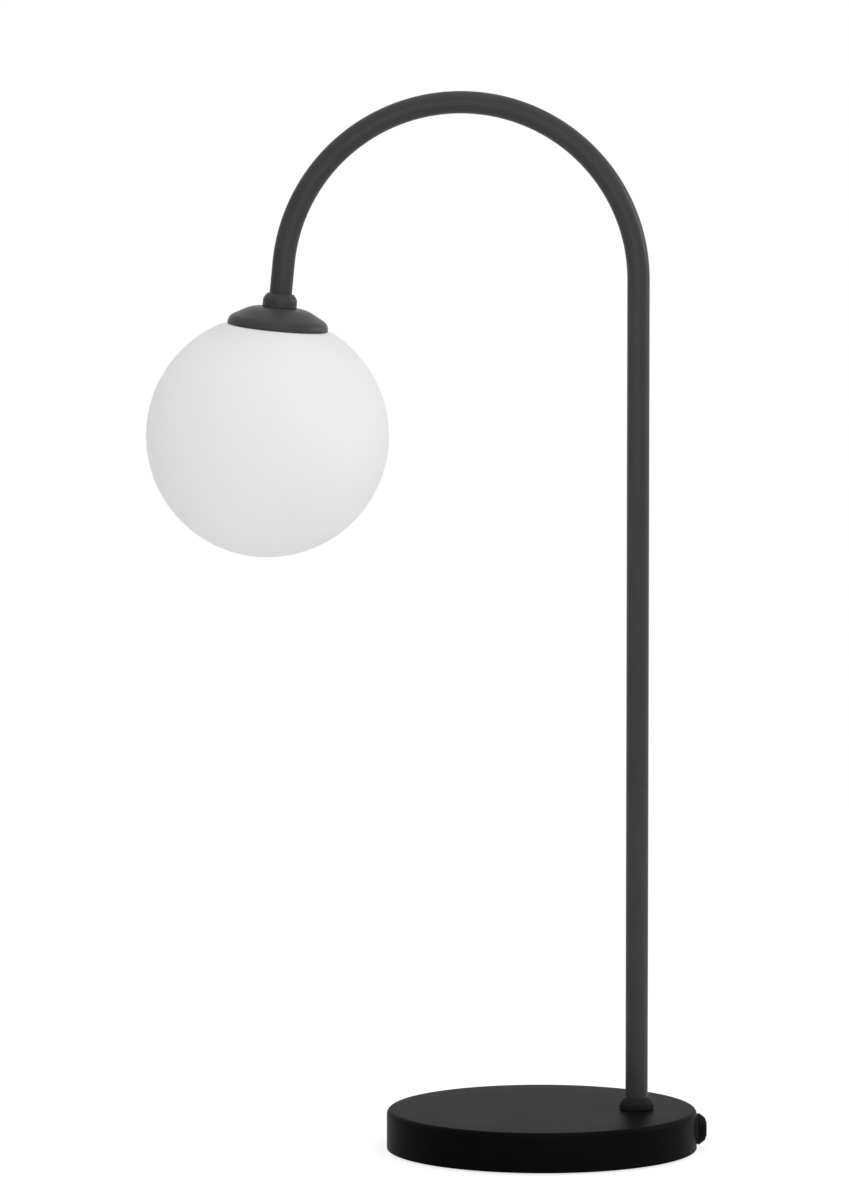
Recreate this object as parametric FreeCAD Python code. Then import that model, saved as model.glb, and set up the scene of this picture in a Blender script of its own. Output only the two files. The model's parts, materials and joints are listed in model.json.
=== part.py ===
import FreeCAD, Part
import math
import os

# Arched table lamp with a round base and an opal glass globe. All lengths are in millimetres.
# The origin is on the table under the middle of the base, +Z is up, and +X points to the stem.

# Base casing
base_diameter = 180.0
base_height = 24.0
base_wall = 1.5
base_top_corner = 3.0
base_rim_lift = 1.0
pad_thickness = 2.0
pad_inset = 4.0
pad_corner = 0.6
plate_thickness = 2.0
plate_gap = 0.5

# Iron weight inside the base
weight_thickness = 14.5
weight_gap = 2.5
weight_corner = 1.5
iron_web = 4.5
boss_radius = 7.0
boss_inset = 20.0
boss_count = 4

# Stem and arch
stem_edge_distance = 35.0
stem_diameter = 13.0
stem_bore = 10.0
column_height = 482.0
arch_radius = 102.3
head_lean = 5.4
head_run = 17.4

# Threaded tube, nut and toothed washer, used at the foot and at the head
nipple_length = 25.0
nipple_bore = 7.0
nipple_below_nut = 1.2
nut_across_flats = 14.0
nut_thickness = 3.0
nut_chamfer = 0.7
washer_diameter = 17.0
washer_thickness = 0.8
tooth_count = 12
tooth_slot = 1.2
tooth_depth = 1.6
nut_well_radius = 12.0

# Collar that hides each end of the stem
collar_diameter = 19.8
head_collar_height = 8.0
foot_collar_height = 6.8
collar_top_radius = 7.5
collar_shoulder_drop = 3.0
collar_shoulder_corner = 5.0
collar_top_corner = 2.0
collar_edge = 0.4

# Cup over the globe
cup_diameter = 58.2
cup_height = 12.0
cup_wall = 1.2
cup_flat_radius = 15.4
cup_shoulder_height = 4.5
cup_corner = 5.7
cup_crown_corner = 20.0
cup_rim_corner = 0.9

# Threaded carrier inside the cup, which holds the globe
globe_thread_diameter = 48.0
globe_thread_pitch = 1.0
globe_thread_turns = 3
carrier_wall = 1.2
carrier_ledge_height = 4.9
carrier_ledge_width = 5.0
carrier_rim_height = 0.2

# Glass globe with its neck ring and seat washer
globe_diameter = 140.0
globe_shoulder_radius = 32.1
globe_wall = 2.2
globe_shoulder_gap = 0.4
globe_shoulder_corner = 3.0
neck_wall = 2.5
neck_height = 3.9
neck_corner = 0.5
neck_ring_wall = 1.85
neck_ring_run_out = 0.5
seat_thickness = 1.0
seat_gap = 0.2
seat_inset = 0.4

# Lampholder
holder_diameter = 28.0
holder_wall = 1.6
holder_cap_drop = 1.1
holder_cap_length = 21.0
holder_neck_diameter = 15.0
holder_neck_length = 4.0
holder_cone_length = 5.0
holder_corner = 2.0
holder_skirt_length = 25.0
holder_lip_radius = 9.0
holder_lip_thickness = 2.0
insert_rise = 3.5
insert_floor = 4.0
shell_diameter = 14.0
shell_wall = 0.5
shell_length = 15.0
shell_drop = 2.0
tongue_width = 4.0
tongue_length = 9.0
tongue_thickness = 0.4
tongue_bump = 0.8
holder_screw_spacing = 14.0
holder_screw_diameter = 2.6
holder_screw_head = 4.2
holder_screw_head_height = 1.3
holder_screw_length = 5.0

# Bulb
bulb_tip_clearance = 9.7
bulb_diameter = 35.0
bulb_cap_diameter = 13.8
bulb_cap_length = 18.0
bulb_cap_wall = 0.3
bulb_glass_wall = 0.8
bulb_contact_diameter = 4.4
bulb_contact_height = 1.0
bulb_insulator_height = 2.7
bulb_gap = 0.1
bulb_seal = 6.0
bulb_neck_length = 4.0
filament_count = 4
filament_diameter = 1.8
filament_circle = 10.0
bulb_stem_diameter = 5.0
bulb_wire_diameter = 0.8

# Push switch in the side of the base
switch_hole_diameter = 12.2
bezel_diameter = 18.4
bezel_height = 4.4
bezel_rim_height = 0.5
bezel_rim_corner = 2.0
bezel_face_radius = 6.3
bezel_face_corner = 3.2
gasket_height = 0.8
gasket_inset = 0.3
barrel_length = 10.0
barrel_wall = 1.15
button_gap = 0.1
button_proud = 0.5
button_travel = 1.5
button_corner = 0.8
button_shaft_diameter = 5.0
button_shaft_length = 11.0
switch_body_diameter = 14.0
switch_body_length = 14.0
switch_body_wall = 2.0
switch_nut_setback = 2.1
switch_pocket_side = 3.5
tab_length = 4.5
tab_width = 2.8
tab_thickness = 0.8
tab_spacing = 9.0
tab_drop = 3.5
spring_wire = 0.7
spring_diameter = 7.4
spring_turns = 5
spring_spare = 2.3

# Cord inlet in the rear of the base
inlet_hole_diameter = 10.2
inlet_bore = 6.4
inlet_flange_diameter = 14.0
inlet_flange_height = 2.2
inlet_flange_corner = 1.0
inlet_barrel_length = 11.0
inlet_nut_setback = 2.1
inlet_pocket_length = 15.0
inlet_pocket_width = 19.0
inlet_groove_width = 8.0

# Terminal block and earth point
block_stem_distance = 40.0
block_length = 20.0
block_height = 12.0
block_edge = 1.6
block_corner = 0.8
pole_count = 3
pole_spacing = 8.0
pole_drop = 9.0
sleeve_diameter = 4.3
sleeve_wall = 0.8
sleeve_inset = 2.0
clamp_screw_diameter = 2.4
clamp_screw_inset = 5.0
chamber_margin = 6.0
earth_tag_diameter = 8.0
earth_tag_thickness = 0.8
earth_clear = 9.0
earth_shift = 13.0

# Small screws
screw_diameter = 3.0
screw_head_diameter = 5.6
screw_head_height = 1.6
screw_length = 9.0
screw_drive = 2.0
screw_drive_depth = 0.9

# Wires
cable_diameter = 5.2
cable_overhang = 0.7
core_diameter = 1.8
core_bend = 3.0
core_spacing = 2.2
core_drop = 4.0
core_entry = 4.0

# Clearances
thread_gap = 0.05
ring_thread_gap = 0.07
hole_gap = 0.2
seat_skin = 0.05
end_gap = 0.1
overrun = 1.0

# Largest part of a wire's straight run that one bend may take
bend_room_share = 0.48

# Bulb outline, as shares of the glass below the cap and of its radius
bulb_wide_start_share = 0.36
bulb_wide_end_share = 0.5
bulb_taper_share = 0.78
bulb_taper_radius_share = 0.74
bulb_tip_radius_share = 0.16

# Length of the filaments, as a share of the glass below the cap
filament_share = 0.463

# Places and sizes that follow from the dimensions above
base_radius = base_diameter / 2
stem_offset = base_radius - stem_edge_distance
cover_inside = base_radius - base_wall
cover_ceiling = base_height - base_wall
plate_top = pad_thickness + plate_thickness
plate_radius = cover_inside - plate_gap
weight_radius = cover_inside - weight_gap
weight_bottom = cover_ceiling - weight_thickness
web_bottom = cover_ceiling - iron_web
side_axis = base_height / 2
stem_radius = stem_diameter / 2
thread_radius = stem_bore / 2
nipple_radius = thread_radius - thread_gap
arch_height = base_height + column_height
arch_left = stem_offset - arch_radius
cup_top_run = head_run + head_collar_height
rim_run = cup_top_run + cup_height
cup_radius = cup_diameter / 2
foot_nut_top = web_bottom - washer_thickness
foot_nipple_bottom = foot_nut_top - nut_thickness - nipple_below_nut
globe_radius = globe_diameter / 2
globe_drop = globe_shoulder_gap + math.sqrt(globe_radius ** 2 - globe_shoulder_radius ** 2)
thread_ring_radius = globe_thread_diameter / 2
neck_ring_height = globe_thread_pitch * globe_thread_turns + neck_ring_run_out
holder_radius = holder_diameter / 2
carrier_top = cup_height - cup_wall
carrier_web_bottom = carrier_top - seat_skin - carrier_wall
head_nut_top = carrier_web_bottom - washer_thickness
holder_top = head_nut_top - nut_thickness - holder_cap_drop
head_nipple_bottom = holder_top - nipple_length / 3
holder_split = holder_top - holder_cap_length
holder_mouth = holder_split - holder_skirt_length
insert_top = holder_split + insert_rise
well_top = holder_split - insert_floor
insert_bottom = holder_mouth + holder_lip_thickness + end_gap
shell_radius = shell_diameter / 2
bulb_top = well_top - tongue_thickness - tongue_bump - end_gap
bulb_cap_top = bulb_top - bulb_contact_height - bulb_insulator_height
bulb_cap_bottom = bulb_cap_top - bulb_cap_length
bulb_tip = globe_wall + bulb_tip_clearance - globe_drop - globe_radius
bulb_span = bulb_cap_bottom - bulb_tip
filament_length = filament_share * bulb_span
block_offset = stem_offset - block_stem_distance
block_bottom = web_bottom - block_height
pole_axis = web_bottom - pole_drop
block_width = pole_spacing * pole_count + 2 * block_edge
pole_lanes = [(lane - (pole_count - 1) / 2) * pole_spacing for lane in range(pole_count)]

button_face = gasket_height + bezel_height + button_proud
spring_pressed = spring_wire * (spring_turns + 1)
button_back = -barrel_length + spring_pressed + spring_spare + button_travel

ORIGIN = FreeCAD.Vector(0, 0, 0)
UP = FreeCAD.Vector(0, 0, 1)
ALONG_X = FreeCAD.Vector(1, 0, 0)
ALONG_Y = FreeCAD.Vector(0, 1, 0)


# Shared shapes

def point(x, y, z):
    return FreeCAD.Vector(x, y, z)


def rod(radius, bottom, top, x=0, y=0):
    """Upright cylinder between two heights."""
    return Part.makeCylinder(radius, top - bottom, point(x, y, bottom), UP)


def tube(outer, inner, bottom, top, x=0, y=0):
    """Upright tube between two heights."""
    core = rod(inner, bottom - overrun, top + overrun, x, y)
    return rod(outer, bottom, top, x, y).cut(core)


def block(low, high):
    """Box between two opposite corners."""
    return Part.makeBox(high[0] - low[0], high[1] - low[1], high[2] - low[2], point(*low))


def corner_arc(before, corner, after, radius, share_before, share_after):
    """Tangent points and middle of the arc that rounds one corner, kept within its edges' shares."""
    to_before = before - corner
    to_after = after - corner
    room = min(to_before.Length * share_before, to_after.Length * share_after)
    to_before.normalize()
    to_after.normalize()
    half = to_before.getAngle(to_after) / 2
    reach = min(radius / math.tan(half), room)
    radius = reach * math.tan(half)
    inward = to_before + to_after
    inward.normalize()
    start = corner + to_before * reach
    end = corner + to_after * reach
    middle = corner + inward * (radius / math.sin(half) - radius)
    return start, middle, end


def outline(rows):
    """Closed wire in the XZ plane through rows of radius, height and corner radius."""
    corners = [point(row[0], 0, row[1]) for row in rows]
    edges = []
    stops = []
    for index, row in enumerate(rows):
        here = corners[index]
        following = (index + 1) % len(rows)
        radius = row[2]
        if radius > 0:
            share_before = radius / (radius + rows[index - 1][2])
            share_after = radius / (radius + rows[following][2])
            sides = (corners[index - 1], here, corners[following])
            stops.append(corner_arc(*sides, radius, share_before, share_after))
        else:
            stops.append((here, None, here))
    for index, stop in enumerate(stops):
        last_end = stops[index - 1][2]
        if last_end.distanceToPoint(stop[0]) > 0:
            edges.append(Part.LineSegment(last_end, stop[0]).toShape())
        if stop[1] is not None:
            edges.append(Part.Arc(stop[0], stop[1], stop[2]).toShape())
    return Part.Wire(Part.__sortEdges__(edges))


def turned(rows):
    """Solid of revolution about the Z axis through rows of radius, height and corner radius."""
    return Part.Face(outline(rows)).revolve(ORIGIN, UP, 360)


def hexagon(across_flats, bottom, top):
    """Upright hexagonal bar with two of its flats facing along X."""
    reach = across_flats / math.sqrt(3)
    spots = []
    for corner in range(7):
        turn = math.radians(60 * corner + 30)
        spots.append(point(reach * math.cos(turn), reach * math.sin(turn), bottom))
    return Part.Face(Part.makePolygon(spots)).extrude(UP * (top - bottom))


def nut(top):
    """Thin hexagonal nut with chamfered corners, its upper face at the given height."""
    bottom = top - nut_thickness
    reach = nut_across_flats / math.sqrt(3)
    flat = nut_across_flats / 2
    chamfer = turned([
        (0, bottom, 0),
        (flat, bottom, 0),
        (reach, bottom + nut_chamfer, 0),
        (reach, top - nut_chamfer, 0),
        (flat, top, 0),
        (0, top, 0),
    ])
    body = hexagon(nut_across_flats, bottom, top).common(chamfer)
    return body.cut(rod(thread_radius, bottom - overrun, top + overrun))


def toothed_washer(top):
    """Lock washer whose rim is slotted into teeth, its upper face at the given height."""
    bottom = top - washer_thickness
    outer = washer_diameter / 2
    body = tube(outer, thread_radius, bottom, top)
    for tooth in range(tooth_count):
        low = (outer - tooth_depth, -tooth_slot / 2, bottom - overrun)
        high = (outer + overrun, tooth_slot / 2, top + overrun)
        slot = block(low, high)
        slot.rotate(ORIGIN, UP, 360 * tooth / tooth_count)
        body = body.cut(slot)
    return body


def nipple(bottom):
    """Hollow threaded tube that starts at the given height."""
    return tube(nipple_radius, nipple_bore / 2, bottom, bottom + nipple_length)


def collar(bottom, height):
    """Collar with a rounded shoulder that slides over the stem."""
    bore = stem_radius + thread_gap
    top = bottom + height
    return turned([
        (bore, bottom, 0),
        (collar_diameter / 2, bottom, collar_edge),
        (collar_diameter / 2, top - collar_shoulder_drop, collar_shoulder_corner),
        (collar_top_radius, top, collar_top_corner),
        (bore, top, 0),
    ])


def wire(points, bend):
    """Round wire along straight runs joined by tangent arcs."""
    edges = []
    last = points[0]
    for before, corner, after in zip(points, points[1:], points[2:]):
        start, middle, end = corner_arc(before, corner, after, bend, bend_room_share, bend_room_share)
        edges.append(Part.LineSegment(last, start).toShape())
        edges.append(Part.Arc(start, middle, end).toShape())
        last = end
    edges.append(Part.LineSegment(last, points[-1]).toShape())
    path = Part.Wire(edges)
    section = Part.Wire(Part.makeCircle(core_diameter / 2, points[0], points[1] - points[0]))
    return path.makePipeShell([section], True, False)


def moved(shape, frame):
    """The shape carried into another frame, with its geometry rewritten there."""
    return shape.transformed(frame.toMatrix(), True)


def at_stem(shape):
    """Carries a piece that was made about the Z axis to the stem's axis."""
    return moved(shape, FreeCAD.Placement(point(stem_offset, 0, 0), FreeCAD.Rotation()))


def arch_end():
    """Centre of the stem where the arch ends, and the way that the head hangs from it."""
    lean = math.radians(head_lean)
    away = point(-math.cos(lean), 0, math.sin(lean))
    down = point(-math.sin(lean), 0, -math.cos(lean))
    return point(arch_left, 0, arch_height) + away * arch_radius, down


def rim_centre():
    """Centre of the cup's rim, the origin of the head's own frame."""
    start, down = arch_end()
    return start + down * rim_run


def at_head(shape):
    """Carries a piece from the head's own frame, where the cup's rim lies at height 0."""
    return moved(shape, FreeCAD.Placement(rim_centre(), FreeCAD.Rotation(ALONG_Y, head_lean)))


def at_switch(shape):
    """Carries a piece to the base's side, where its height 0 is the wall's outer face."""
    spot = point(base_radius, 0, side_axis)
    return moved(shape, FreeCAD.Placement(spot, FreeCAD.Rotation(ALONG_Y, 90)))


def at_inlet(shape):
    """Carries a piece to the base's rear, where its height 0 is the wall's outer face."""
    spot = point(0, base_radius, side_axis)
    return moved(shape, FreeCAD.Placement(spot, FreeCAD.Rotation(ALONG_X, -90)))


def base_envelope():
    """Solid disc a hair wider than the base, which shapes what lies against its wall."""
    return rod(base_radius + seat_skin, -overrun, base_height + overrun)


# Base

def base_cover():
    """Pressed steel cover: the top and side wall of the base."""
    inner_corner = base_top_corner - base_wall
    shell = turned([
        (0, base_height, 0),
        (0, cover_ceiling, 0),
        (cover_inside, cover_ceiling, inner_corner),
        (cover_inside, base_rim_lift, 0),
        (base_radius, base_rim_lift, 0),
        (base_radius, base_height, base_top_corner),
    ])
    reach = base_wall + overrun
    shell = shell.cut(at_switch(rod(switch_hole_diameter / 2, -reach, overrun)))
    shell = shell.cut(at_inlet(rod(inlet_hole_diameter / 2, -reach, overrun)))
    hole = rod(thread_radius + hole_gap, cover_ceiling - overrun, base_height + overrun)
    return shell.cut(at_stem(hole))


def boss_spots():
    """Centres of the bosses that carry the bottom plate."""
    reach = weight_radius - boss_inset
    spots = []
    for boss in range(boss_count):
        turn = math.radians(360 * (boss + 1 / 2) / boss_count)
        spots.append((reach * math.cos(turn), reach * math.sin(turn)))
    return spots


def boss_frames():
    """Frames that carry a piece made about the Z axis to each boss."""
    return [FreeCAD.Placement(point(x, y, 0), FreeCAD.Rotation()) for x, y in boss_spots()]


def base_weight():
    """Cast iron disc with bosses for the bottom plate and pockets for what the base holds."""
    body = turned([
        (0, weight_bottom, 0),
        (weight_radius, weight_bottom, weight_corner),
        (weight_radius, cover_ceiling, weight_corner),
        (0, cover_ceiling, 0),
    ])
    for x, y in boss_spots():
        body = body.fuse(rod(boss_radius, plate_top, web_bottom, x, y))
    for pocket in weight_pockets():
        body = body.cut(pocket)
    for x, y in boss_spots():
        body = body.cut(screw_hole(x, y, plate_top - overrun, plate_top + screw_length))
    for x, y in block_screw_spots() + [earth_spot()]:
        body = body.cut(screw_hole(x, y, web_bottom - overrun, cover_ceiling + overrun))
    return body.removeSplitter()


def weight_pockets():
    """Open spaces in the weight: for the stem's nut, the wiring, the switch and the cord."""
    below = plate_top - overrun
    stem_hole = rod(thread_radius + hole_gap, below, cover_ceiling + overrun, stem_offset)
    nut_well = rod(nut_well_radius, below, web_bottom, stem_offset)
    half_width = block_width / 2 + chamber_margin
    chamber_end = block_offset - block_length / 2 - chamber_margin
    chamber = block((chamber_end, -half_width, below), (stem_offset, half_width, web_bottom))
    side = switch_body_diameter / 2 + switch_pocket_side
    switch_top = side_axis + switch_body_diameter / 2 + overrun
    switch_pocket = block((stem_offset, -side, below), (base_radius, side, switch_top))
    inlet_near = cover_inside - inlet_pocket_length
    inlet_top = side_axis + nut_across_flats / 2 + overrun
    inlet_half = inlet_pocket_width / 2
    inlet_low = (-inlet_half, inlet_near, below)
    inlet_pocket = block(inlet_low, (inlet_half, base_radius, inlet_top))
    groove_half = inlet_groove_width / 2
    groove_top = side_axis + groove_half
    groove_high = (groove_half, inlet_near + overrun, groove_top)
    groove = block((-groove_half, 0, below), groove_high)
    return [stem_hole, nut_well, chamber, switch_pocket, inlet_pocket, groove]


def screw_hole(x, y, bottom, top):
    """Tapped hole for a small screw."""
    return rod(screw_diameter / 2 + thread_gap, bottom, top, x, y)


def base_plate():
    """Steel bottom plate with a countersunk hole under each boss."""
    body = rod(plate_radius, pad_thickness, plate_top)
    for spot in boss_frames():
        body = body.cut(moved(countersink(), spot))
    return body


def countersink():
    """The space that a flat-headed screw takes in the bottom plate."""
    head = screw_head_diameter / 2 + hole_gap
    shank = screw_diameter / 2 + hole_gap
    return turned([
        (0, pad_thickness - overrun, 0),
        (head, pad_thickness - overrun, 0),
        (head, pad_thickness, 0),
        (shank, pad_thickness + screw_head_height, 0),
        (shank, plate_top + overrun, 0),
        (0, plate_top + overrun, 0),
    ])


def plate_screws():
    """Flat-headed screws that hold the bottom plate to the weight."""
    bottom = pad_thickness + end_gap
    head_top = bottom + screw_head_height
    body = turned([
        (0, bottom, 0),
        (screw_head_diameter / 2, bottom, 0),
        (screw_diameter / 2, head_top, 0),
        (screw_diameter / 2, bottom + screw_length, 0),
        (0, bottom + screw_length, 0),
    ])
    body = body.cut(hexagon(screw_drive, bottom - overrun, bottom + screw_drive_depth))
    return Part.makeCompound([moved(body, spot) for spot in boss_frames()])


def base_pad():
    """Foam pad under the bottom plate."""
    radius = plate_radius - pad_inset
    return turned([
        (0, 0, 0),
        (radius, 0, pad_corner),
        (radius, pad_thickness, 0),
        (0, pad_thickness, 0),
    ])


# Stem

def along_stem(radius, foot, head):
    """Bar on the stem's centre line, from a height at the foot to a height in the head's frame."""
    start, down = arch_end()
    centre = point(arch_left, 0, arch_height)
    arch_start = point(stem_offset, 0, arch_height)
    section = Part.Face(Part.Wire(Part.makeCircle(radius, arch_start, UP)))
    column = Part.makeCylinder(radius, arch_height - foot, point(stem_offset, 0, foot), UP)
    arch = section.revolve(centre, ALONG_Y * -1, 180 - head_lean)
    drop = Part.makeCylinder(radius, rim_run - head, start, down)
    return column.fuse([arch, drop]).removeSplitter()


def stem_tube():
    """One bent steel tube: column, arch and the short run down to the head."""
    bore = along_stem(thread_radius, base_height - overrun, cup_height - overrun)
    return along_stem(stem_radius, base_height, cup_height).cut(bore)


def stem_cable():
    """Two-core cable inside the stem, from below the foot nipple to below the head nipple."""
    foot = foot_nipple_bottom - cable_overhang
    head = head_nipple_bottom - cable_overhang
    return along_stem(cable_diameter / 2, foot, head)


# Switch

def switch_bezel():
    """Round bezel with the threaded barrel that passes through the base's wall."""
    bore = switch_bore()
    outside = gasket_height + bezel_height
    barrel = switch_hole_diameter / 2 - thread_gap
    return turned([
        (bore, -barrel_length, 0),
        (barrel, -barrel_length, 0),
        (barrel, gasket_height, 0),
        (bezel_diameter / 2, gasket_height, 0),
        (bezel_diameter / 2, gasket_height + bezel_rim_height, bezel_rim_corner),
        (bezel_face_radius, outside, bezel_face_corner),
        (bore, outside, 0),
    ])


def switch_bore():
    """Bore that the button slides in."""
    return switch_hole_diameter / 2 - thread_gap - barrel_wall


def switch_gasket():
    """Rubber ring between the flat bezel and the round wall."""
    outer = bezel_diameter / 2 - gasket_inset
    inner = switch_hole_diameter / 2
    ring = tube(outer, inner, -overrun, gasket_height)
    return at_switch(ring).cut(base_envelope())


def switch_nut():
    """Thin nut that clamps the switch from inside the wall."""
    top = -switch_nut_setback
    bottom = top - nut_thickness
    body = hexagon(nut_across_flats, bottom, top)
    return body.cut(rod(switch_hole_diameter / 2, bottom - overrun, top + overrun))


def switch_body():
    """Moulded contact housing behind the barrel, open at the front for the button's shaft."""
    top = -barrel_length
    bottom = top - switch_body_length
    inner = switch_body_diameter / 2 - switch_body_wall
    body = rod(switch_body_diameter / 2, bottom, top)
    body = body.cut(rod(inner, bottom + switch_body_wall, top - switch_body_wall))
    shaft_hole = button_shaft_diameter / 2 + button_gap
    return body.cut(rod(shaft_hole, top - 2 * switch_body_wall, top + overrun))


def switch_tabs():
    """Two blade terminals that stand out behind the switch body."""
    back = -barrel_length - switch_body_length
    tabs = []
    for side in (-1, 1):
        middle = side * tab_spacing / 2
        low = (tab_drop, middle - tab_thickness / 2, back - tab_length)
        high = (tab_drop + tab_width, middle + tab_thickness / 2, back)
        tabs.append(block(low, high))
    return Part.makeCompound(tabs)


def button():
    """Push button: a round head in the bezel's bore and a shaft into the switch body."""
    shaft = button_shaft_diameter / 2
    shaft_end = button_back - button_shaft_length
    return turned([
        (0, shaft_end, 0),
        (shaft, shaft_end, 0),
        (shaft, button_back, 0),
        (switch_bore() - button_gap, button_back, 0),
        (switch_bore() - button_gap, button_face, button_corner),
        (0, button_face, 0),
    ])


def button_spring():
    """Return spring round the button's shaft, between the button's head and the switch body."""
    top = button_back - end_gap - spring_wire / 2
    bottom = -barrel_length + end_gap + spring_wire / 2
    radius = spring_diameter / 2
    path = Part.makeHelix((top - bottom) / spring_turns, top - bottom, radius)
    path = Part.Wire(path.Edges)
    section = Part.Wire(Part.makeCircle(spring_wire / 2, point(radius, 0, 0), ALONG_Y))
    coil = path.makePipeShell([section], True, True)
    return moved(coil, FreeCAD.Placement(point(0, 0, bottom), FreeCAD.Rotation()))


# Cord inlet

def inlet_bushing():
    """Flanged bushing in the rear wall, with an open bore for a supply cord."""
    bore = inlet_bore / 2
    barrel = inlet_hole_diameter / 2 - thread_gap
    body = turned([
        (bore, -inlet_barrel_length, 0),
        (barrel, -inlet_barrel_length, 0),
        (barrel, inlet_flange_height, inlet_flange_corner),
        (bore, inlet_flange_height, inlet_flange_corner / 2),
    ])
    flange = turned([
        (bore, -overrun, 0),
        (inlet_flange_diameter / 2, -overrun, 0),
        (inlet_flange_diameter / 2, inlet_flange_height, inlet_flange_corner),
        (bore, inlet_flange_height, inlet_flange_corner / 2),
    ])
    flange = at_inlet(flange).cut(base_envelope())
    return at_inlet(body).fuse(flange).removeSplitter()


def inlet_nut():
    """Thin nut that clamps the bushing from inside the wall."""
    top = -inlet_nut_setback
    bottom = top - nut_thickness
    body = hexagon(nut_across_flats, bottom, top)
    body.rotate(ORIGIN, UP, 90)
    return body.cut(rod(inlet_hole_diameter / 2, bottom - overrun, top + overrun))


# Terminal block, earth point and wires in the base

def terminal_block():
    """Moulded block with a through channel and two screw wells for each pole."""
    half_length = block_length / 2
    half_width = block_width / 2
    low = (block_offset - half_length, -half_width, block_bottom)
    high = (block_offset + half_length, half_width, web_bottom)
    body = block(low, high)
    upright = [edge for edge in body.Edges if abs(edge.BoundBox.ZLength - block_height) < thread_gap]
    body = body.makeFillet(block_corner, upright)
    for lane in pole_lanes:
        start = point(low[0] - overrun, lane, pole_axis)
        radius = sleeve_diameter / 2 + thread_gap
        body = body.cut(Part.makeCylinder(radius, block_length + 2 * overrun, start, ALONG_X))
        for x in clamp_spots():
            radius = clamp_screw_diameter / 2 + thread_gap
            body = body.cut(rod(radius, block_bottom - overrun, pole_axis, x, lane))
    for x, y in block_screw_spots():
        body = body.cut(screw_hole(x, y, block_bottom - overrun, web_bottom + overrun))
    return body


def block_screw_spots():
    """Places of the screws that hold the block, midway between its poles."""
    return [(block_offset, (low + high) / 2) for low, high in zip(pole_lanes, pole_lanes[1:])]


def clamp_spots():
    """Places of the two clamp screws along each pole."""
    reach = block_length / 2 - clamp_screw_inset
    return [block_offset - reach, block_offset + reach]


def terminal_sleeves():
    """Brass sleeves in the block, one for each pole."""
    sleeves = []
    outer = sleeve_diameter / 2
    half = block_length / 2 - sleeve_inset
    for lane in pole_lanes:
        start = point(block_offset - half, lane, pole_axis)
        sleeve = Part.makeCylinder(outer, 2 * half, start, ALONG_X)
        start = point(block_offset - half - overrun, lane, pole_axis)
        bore = Part.makeCylinder(outer - sleeve_wall, 2 * (half + overrun), start, ALONG_X)
        sleeve = sleeve.cut(bore)
        for x in clamp_spots():
            hole = rod(clamp_screw_diameter / 2 + thread_gap, block_bottom, pole_axis, x, lane)
            sleeve = sleeve.cut(hole)
        sleeves.append(sleeve)
    return Part.makeCompound(sleeves)


def clamp_screws():
    """Small slotted screws that clamp the wires in the sleeves."""
    screws = []
    bottom = block_bottom + end_gap
    top = pole_axis - core_diameter / 2 - end_gap
    for lane in pole_lanes:
        for x in clamp_spots():
            screw = rod(clamp_screw_diameter / 2, bottom, top, x, lane)
            reach = clamp_screw_diameter
            slot_half = screw_drive / 8
            low = (x - reach, lane - slot_half, bottom - overrun)
            high = (x + reach, lane + slot_half, bottom + screw_drive_depth)
            screws.append(screw.cut(block(low, high)))
    return Part.makeCompound(screws)


def hanging_screw(x, y, head_bottom, top):
    """Round-headed screw driven upwards into the iron."""
    head = rod(screw_head_diameter / 2, head_bottom, head_bottom + screw_head_height, x, y)
    shank = rod(screw_diameter / 2, head_bottom, top, x, y)
    drive = hexagon(screw_drive, head_bottom - overrun, head_bottom + screw_drive_depth)
    drive = moved(drive, FreeCAD.Placement(point(x, y, 0), FreeCAD.Rotation()))
    return head.fuse(shank).removeSplitter().cut(drive)


def block_screws():
    """Screws through the terminal block into the weight."""
    bottom = block_bottom - screw_head_height
    top = cover_ceiling - end_gap
    return Part.makeCompound([hanging_screw(x, y, bottom, top) for x, y in block_screw_spots()])


def earth_spot():
    """Place of the earth screw beside the terminal block."""
    return block_offset + block_length / 2 + earth_clear, earth_shift


def earth_tag():
    """Ring tag clamped against the iron by the earth screw."""
    x, y = earth_spot()
    bottom = web_bottom - earth_tag_thickness
    return tube(earth_tag_diameter / 2, screw_diameter / 2 + hole_gap, bottom, web_bottom, x, y)


def earth_screw():
    """Screw that holds the earth tag."""
    x, y = earth_spot()
    head_bottom = web_bottom - earth_tag_thickness - screw_head_height
    return hanging_screw(x, y, head_bottom, cover_ceiling - end_gap)


def inside_pole(lane):
    """Where a wire ends inside its sleeve in the block."""
    return point(block_offset + block_length / 2 - sleeve_inset - core_entry, lane, pole_axis)


def tab_tip(side):
    """End of one of the switch's blade terminals."""
    x = base_radius - barrel_length - switch_body_length - tab_length
    return point(x - end_gap, side * tab_spacing / 2, side_axis - tab_drop - tab_width / 2)


def earth_lead():
    """Wire from the block's earth pole up to the ring tag."""
    inside = inside_pole(pole_lanes[2])
    x, y = earth_spot()
    top = web_bottom - earth_tag_thickness - end_gap
    spot = x - screw_head_diameter / 2 - core_diameter / 2 - end_gap
    corner = point(spot, pole_lanes[2], pole_axis)
    foot = point(spot, y, pole_axis + core_drop)
    return wire([inside, corner, foot, point(spot, y, top)], core_bend)


def switch_lead():
    """Wire from the block's live pole to the first switch terminal."""
    inside = inside_pole(pole_lanes[0])
    tip = tab_tip(-1)
    away = point(stem_offset - nut_well_radius / 2, pole_lanes[0], pole_axis)
    beside = point(tip.x - core_drop, tip.y, tip.z)
    return wire([inside, away, beside, tip], core_bend)


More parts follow.
